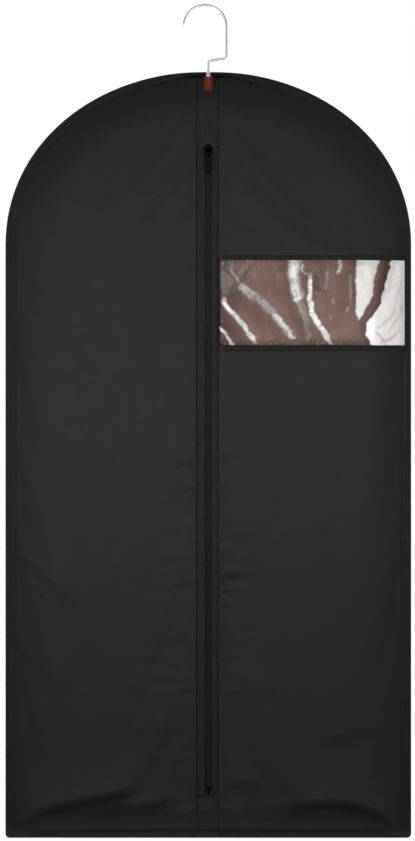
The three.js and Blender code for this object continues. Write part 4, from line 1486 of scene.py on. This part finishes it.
def film_relief(x, z):
    """Creases pressed into the film: their height, whitening and painted highlight, and painted shade."""
    width, height = INNER_HALF - FOLD_RIGHT, WINDOW_TOP - WINDOW_BOTTOM

    def placed(points):
        return curve_through([(FOLD_RIGHT + u * width, WINDOW_TOP - v * height) for u, v in points])

    ragged_x = x + 0.8 * waves(x, z, 15, 41) + 0.5 * waves(x, z, 6, 43) + 0.3 * waves(x, z, 3.4, 49)
    ragged_z = z + 0.8 * waves(x, z, 16, 42) + 0.5 * waves(x, z, 6, 48)
    relief = 1.1 * waves(x, 0.5 * z, 70, 44)
    haze_and_highlight = np.zeros(x.shape)
    for points, wide, bright, tall, lean in STREAKS:
        gap, side, along = distance_to(placed(points), ragged_x, ragged_z)
        ends = tapering(along, 0.12)
        taper = wide * (0.3 + 0.7 * ends)
        steep, gentle = hump(gap / (0.9 * taper)), np.exp(-gap / (3.2 * wide))
        ridge = np.where(side * lean > 0, steep, gentle)
        relief -= tall * (0.3 + 0.7 * ends) * ridge
        crinkle = 1 - 0.26 * np.abs(waves(x, z, 5, 50)) - 0.1 * np.abs(waves(x, z, 12, 51))
        blur = 0.6 if wide > 12 else 0.16
        body = smooth((0.5 * taper - gap * (1 + 0.5 * (side * lean > 0))) / (blur * wide) + 0.5)
        haze_and_highlight = np.maximum(haze_and_highlight, bright * body * (0.4 + 0.6 * ends) * crinkle ** (2 - bright))
    for points, wide, deep in DARK_CREASES:
        gap, _, along = distance_to(placed(points), ragged_x, ragged_z)
        relief += deep * hump(gap / wide)
    u, v = (ragged_x - FOLD_RIGHT) / width, (WINDOW_TOP - ragged_z) / height
    for corners, bright, rough in BRIGHT_FIELDS:
        field = inside_polygon(corners, u, v)
        folds = waves(x + 0.5 * z, 0.6 * z, 40, 46) + 0.8 * np.abs(waves(x + 0.45 * z, 0.5 * z, 20, 52))
        crumple = 1 - rough * np.clip(0.3 - 0.7 * folds, 0, 0.7)
        haze_and_highlight = np.maximum(haze_and_highlight, field * bright * crumple)
        relief -= field * (0.8 + rough * 1.3 * folds)
    haze_and_highlight = np.maximum(haze_and_highlight, 0.1 * inside_polygon(PALE_HIGHLIGHT_CORNER, u, v))
    to_hem = np.minimum(v, 1 - v)
    flecks = smooth(waves(x, z, 5.5, 53) - 0.9) * smooth((0.09 - to_hem) / 0.05)
    haze_and_highlight = np.maximum(haze_and_highlight, 0.6 * flecks)
    shade = np.zeros(x.shape)
    for points, wide, dark in SHADES:
        gap, _, along = distance_to(placed(points), ragged_x, ragged_z)
        ends = tapering(along, 0.2)
        shade = np.maximum(shade, dark * hump(gap / (0.6 * wide)) * (0.3 + 0.7 * ends))
        relief += 0.25 * dark * wide * hump(gap / wide) * ends
    return relief, np.clip(haze_and_highlight, 0, 1), shade


def soften(values, rounds):
    """Each value drawn towards its neighbours'."""
    for _ in range(rounds):
        padded = np.pad(values, 1, mode="edge")
        beside = padded[1:-1, :-2] + padded[1:-1, 2:]
        values = (4 * values + padded[:-2, 1:-1] + padded[2:, 1:-1] + beside) / 8
    return values


def window():
    """The film, set back where it is sewn in and creased where it is free."""
    x, z = grid_between(FOLD_RIGHT + 0.3, SIDE, WINDOW_BOTTOM - FILM_LAP, WINDOW_TOP + FILM_LAP, FILM_CELL)
    relief, haze_and_highlight, shade = film_relief(x, z)
    relief, haze_and_highlight = soften(relief, 3), soften(haze_and_highlight, 1)
    to_edge = np.min([z - WINDOW_BOTTOM, WINDOW_TOP - z, x - FOLD_RIGHT, INNER_HALF - x], axis=0)
    free = smooth((to_edge + 1) / 9)
    y = front_y(x, z) + FILM_SET_BACK * (1 - free) + relief * (0.12 + 0.88 * free)
    # the film's painted highlight and painted shade go with it as attributes
    sheet_object(
        "window_clear_film", spots(x, y, z), "window_film",
        thickness=FILM_THICKNESS, material=FILM, slot="clear_film", marks={"haze_and_highlight": haze_and_highlight, "shade": shade},
    )


window()

# ---------------------------------------------------------------- light and floor


def soft_light(name, place, target, width, height, strength):
    """A lamp with a face of width by height in metres, turned to a target."""
    data = bpy.data.lights.new(name, "AREA")
    data.shape = "RECTANGLE"
    data.size, data.size_y = width, height
    data.energy = strength
    lamp = bpy.data.objects.new(name, data)
    lamp.location = place
    direction = Vector(target) - Vector(place)
    lamp.rotation_euler = direction.to_track_quat("-Z", "Y").to_euler()
    lamp.visible_camera = False
    scene.collection.objects.link(lamp)


for light in (
    ("key", (-0.4, -0.85, -0.55), (0, 0, -0.56), 0.5, 0.4, 5.3),
    ("fill", (0.4, -0.85, -0.5), (0, 0, -0.54), 0.5, 0.4, 4.5),
    ("edge_left", (-1.0, -0.7, -0.45), (0, 0, -0.45), 0.08, 0.7, 0.8),
    ("edge_right", (1.0, -0.7, -0.4), (0.15, 0, -0.45), 0.08, 0.7, 0.8),
    ("behind_left", (-0.9, 1.2, 0.1), (0, 0, -0.6), 0.7, 0.9, 9),
    ("behind_right", (0.9, 1.2, 0.0), (0, 0, -0.6), 0.7, 0.9, 6),
    ("low_behind", (0, 1.7, -0.5), (0, 0.4, -1.55), 1.2, 0.8, 26),
):
    soft_light(*light)


def white_surroundings(on_matt, on_glossy):
    """White where the camera looks past the object, and dimmer as light on matt and on glossy surfaces."""
    world = bpy.data.worlds.new("surroundings")
    world.use_nodes = True
    tree = world.node_tree
    background = tree.nodes["Background"]
    background.inputs["Color"].default_value = (1, 1, 1, 1)
    path = tree.nodes.new("ShaderNodeLightPath")
    glossy = tree.nodes.new("ShaderNodeMix")
    glossy.inputs[2].default_value = on_matt
    glossy.inputs[3].default_value = on_glossy
    seen = tree.nodes.new("ShaderNodeMix")
    seen.inputs[3].default_value = 1
    tree.links.new(path.outputs["Is Glossy Ray"], glossy.inputs[0])
    tree.links.new(path.outputs["Is Camera Ray"], seen.inputs[0])
    tree.links.new(glossy.outputs[0], seen.inputs[2])
    tree.links.new(seen.outputs[0], background.inputs["Strength"])
    scene.world = world


white_surroundings(0.08, 0.55)

FLOOR_DROP = 320
FLOOR_RADIUS = 1300
FLOOR_THICKNESS = 20
FLOOR_SIDES = 96


def floor():
    """A round pale floor under the hanging cover."""
    top = BOTTOM - FLOOR_DROP
    line = [(0, 0, top - FLOOR_THICKNESS), (0, 0, top)]
    points, faces = sweep(line, RIGHTWARD, BACKWARD, circle(FLOOR_RADIUS, FLOOR_SIDES))
    mesh = bpy.data.meshes.new("floor")
    mesh.from_pydata((points * MM).tolist(), [], faces)
    mesh.materials.append(pale_floor())
    disc = bpy.data.objects.new("floor", mesh)
    scene.collection.objects.link(disc)


floor()

# ---------------------------------------------------------------- last update

bpy.context.view_layer.update()
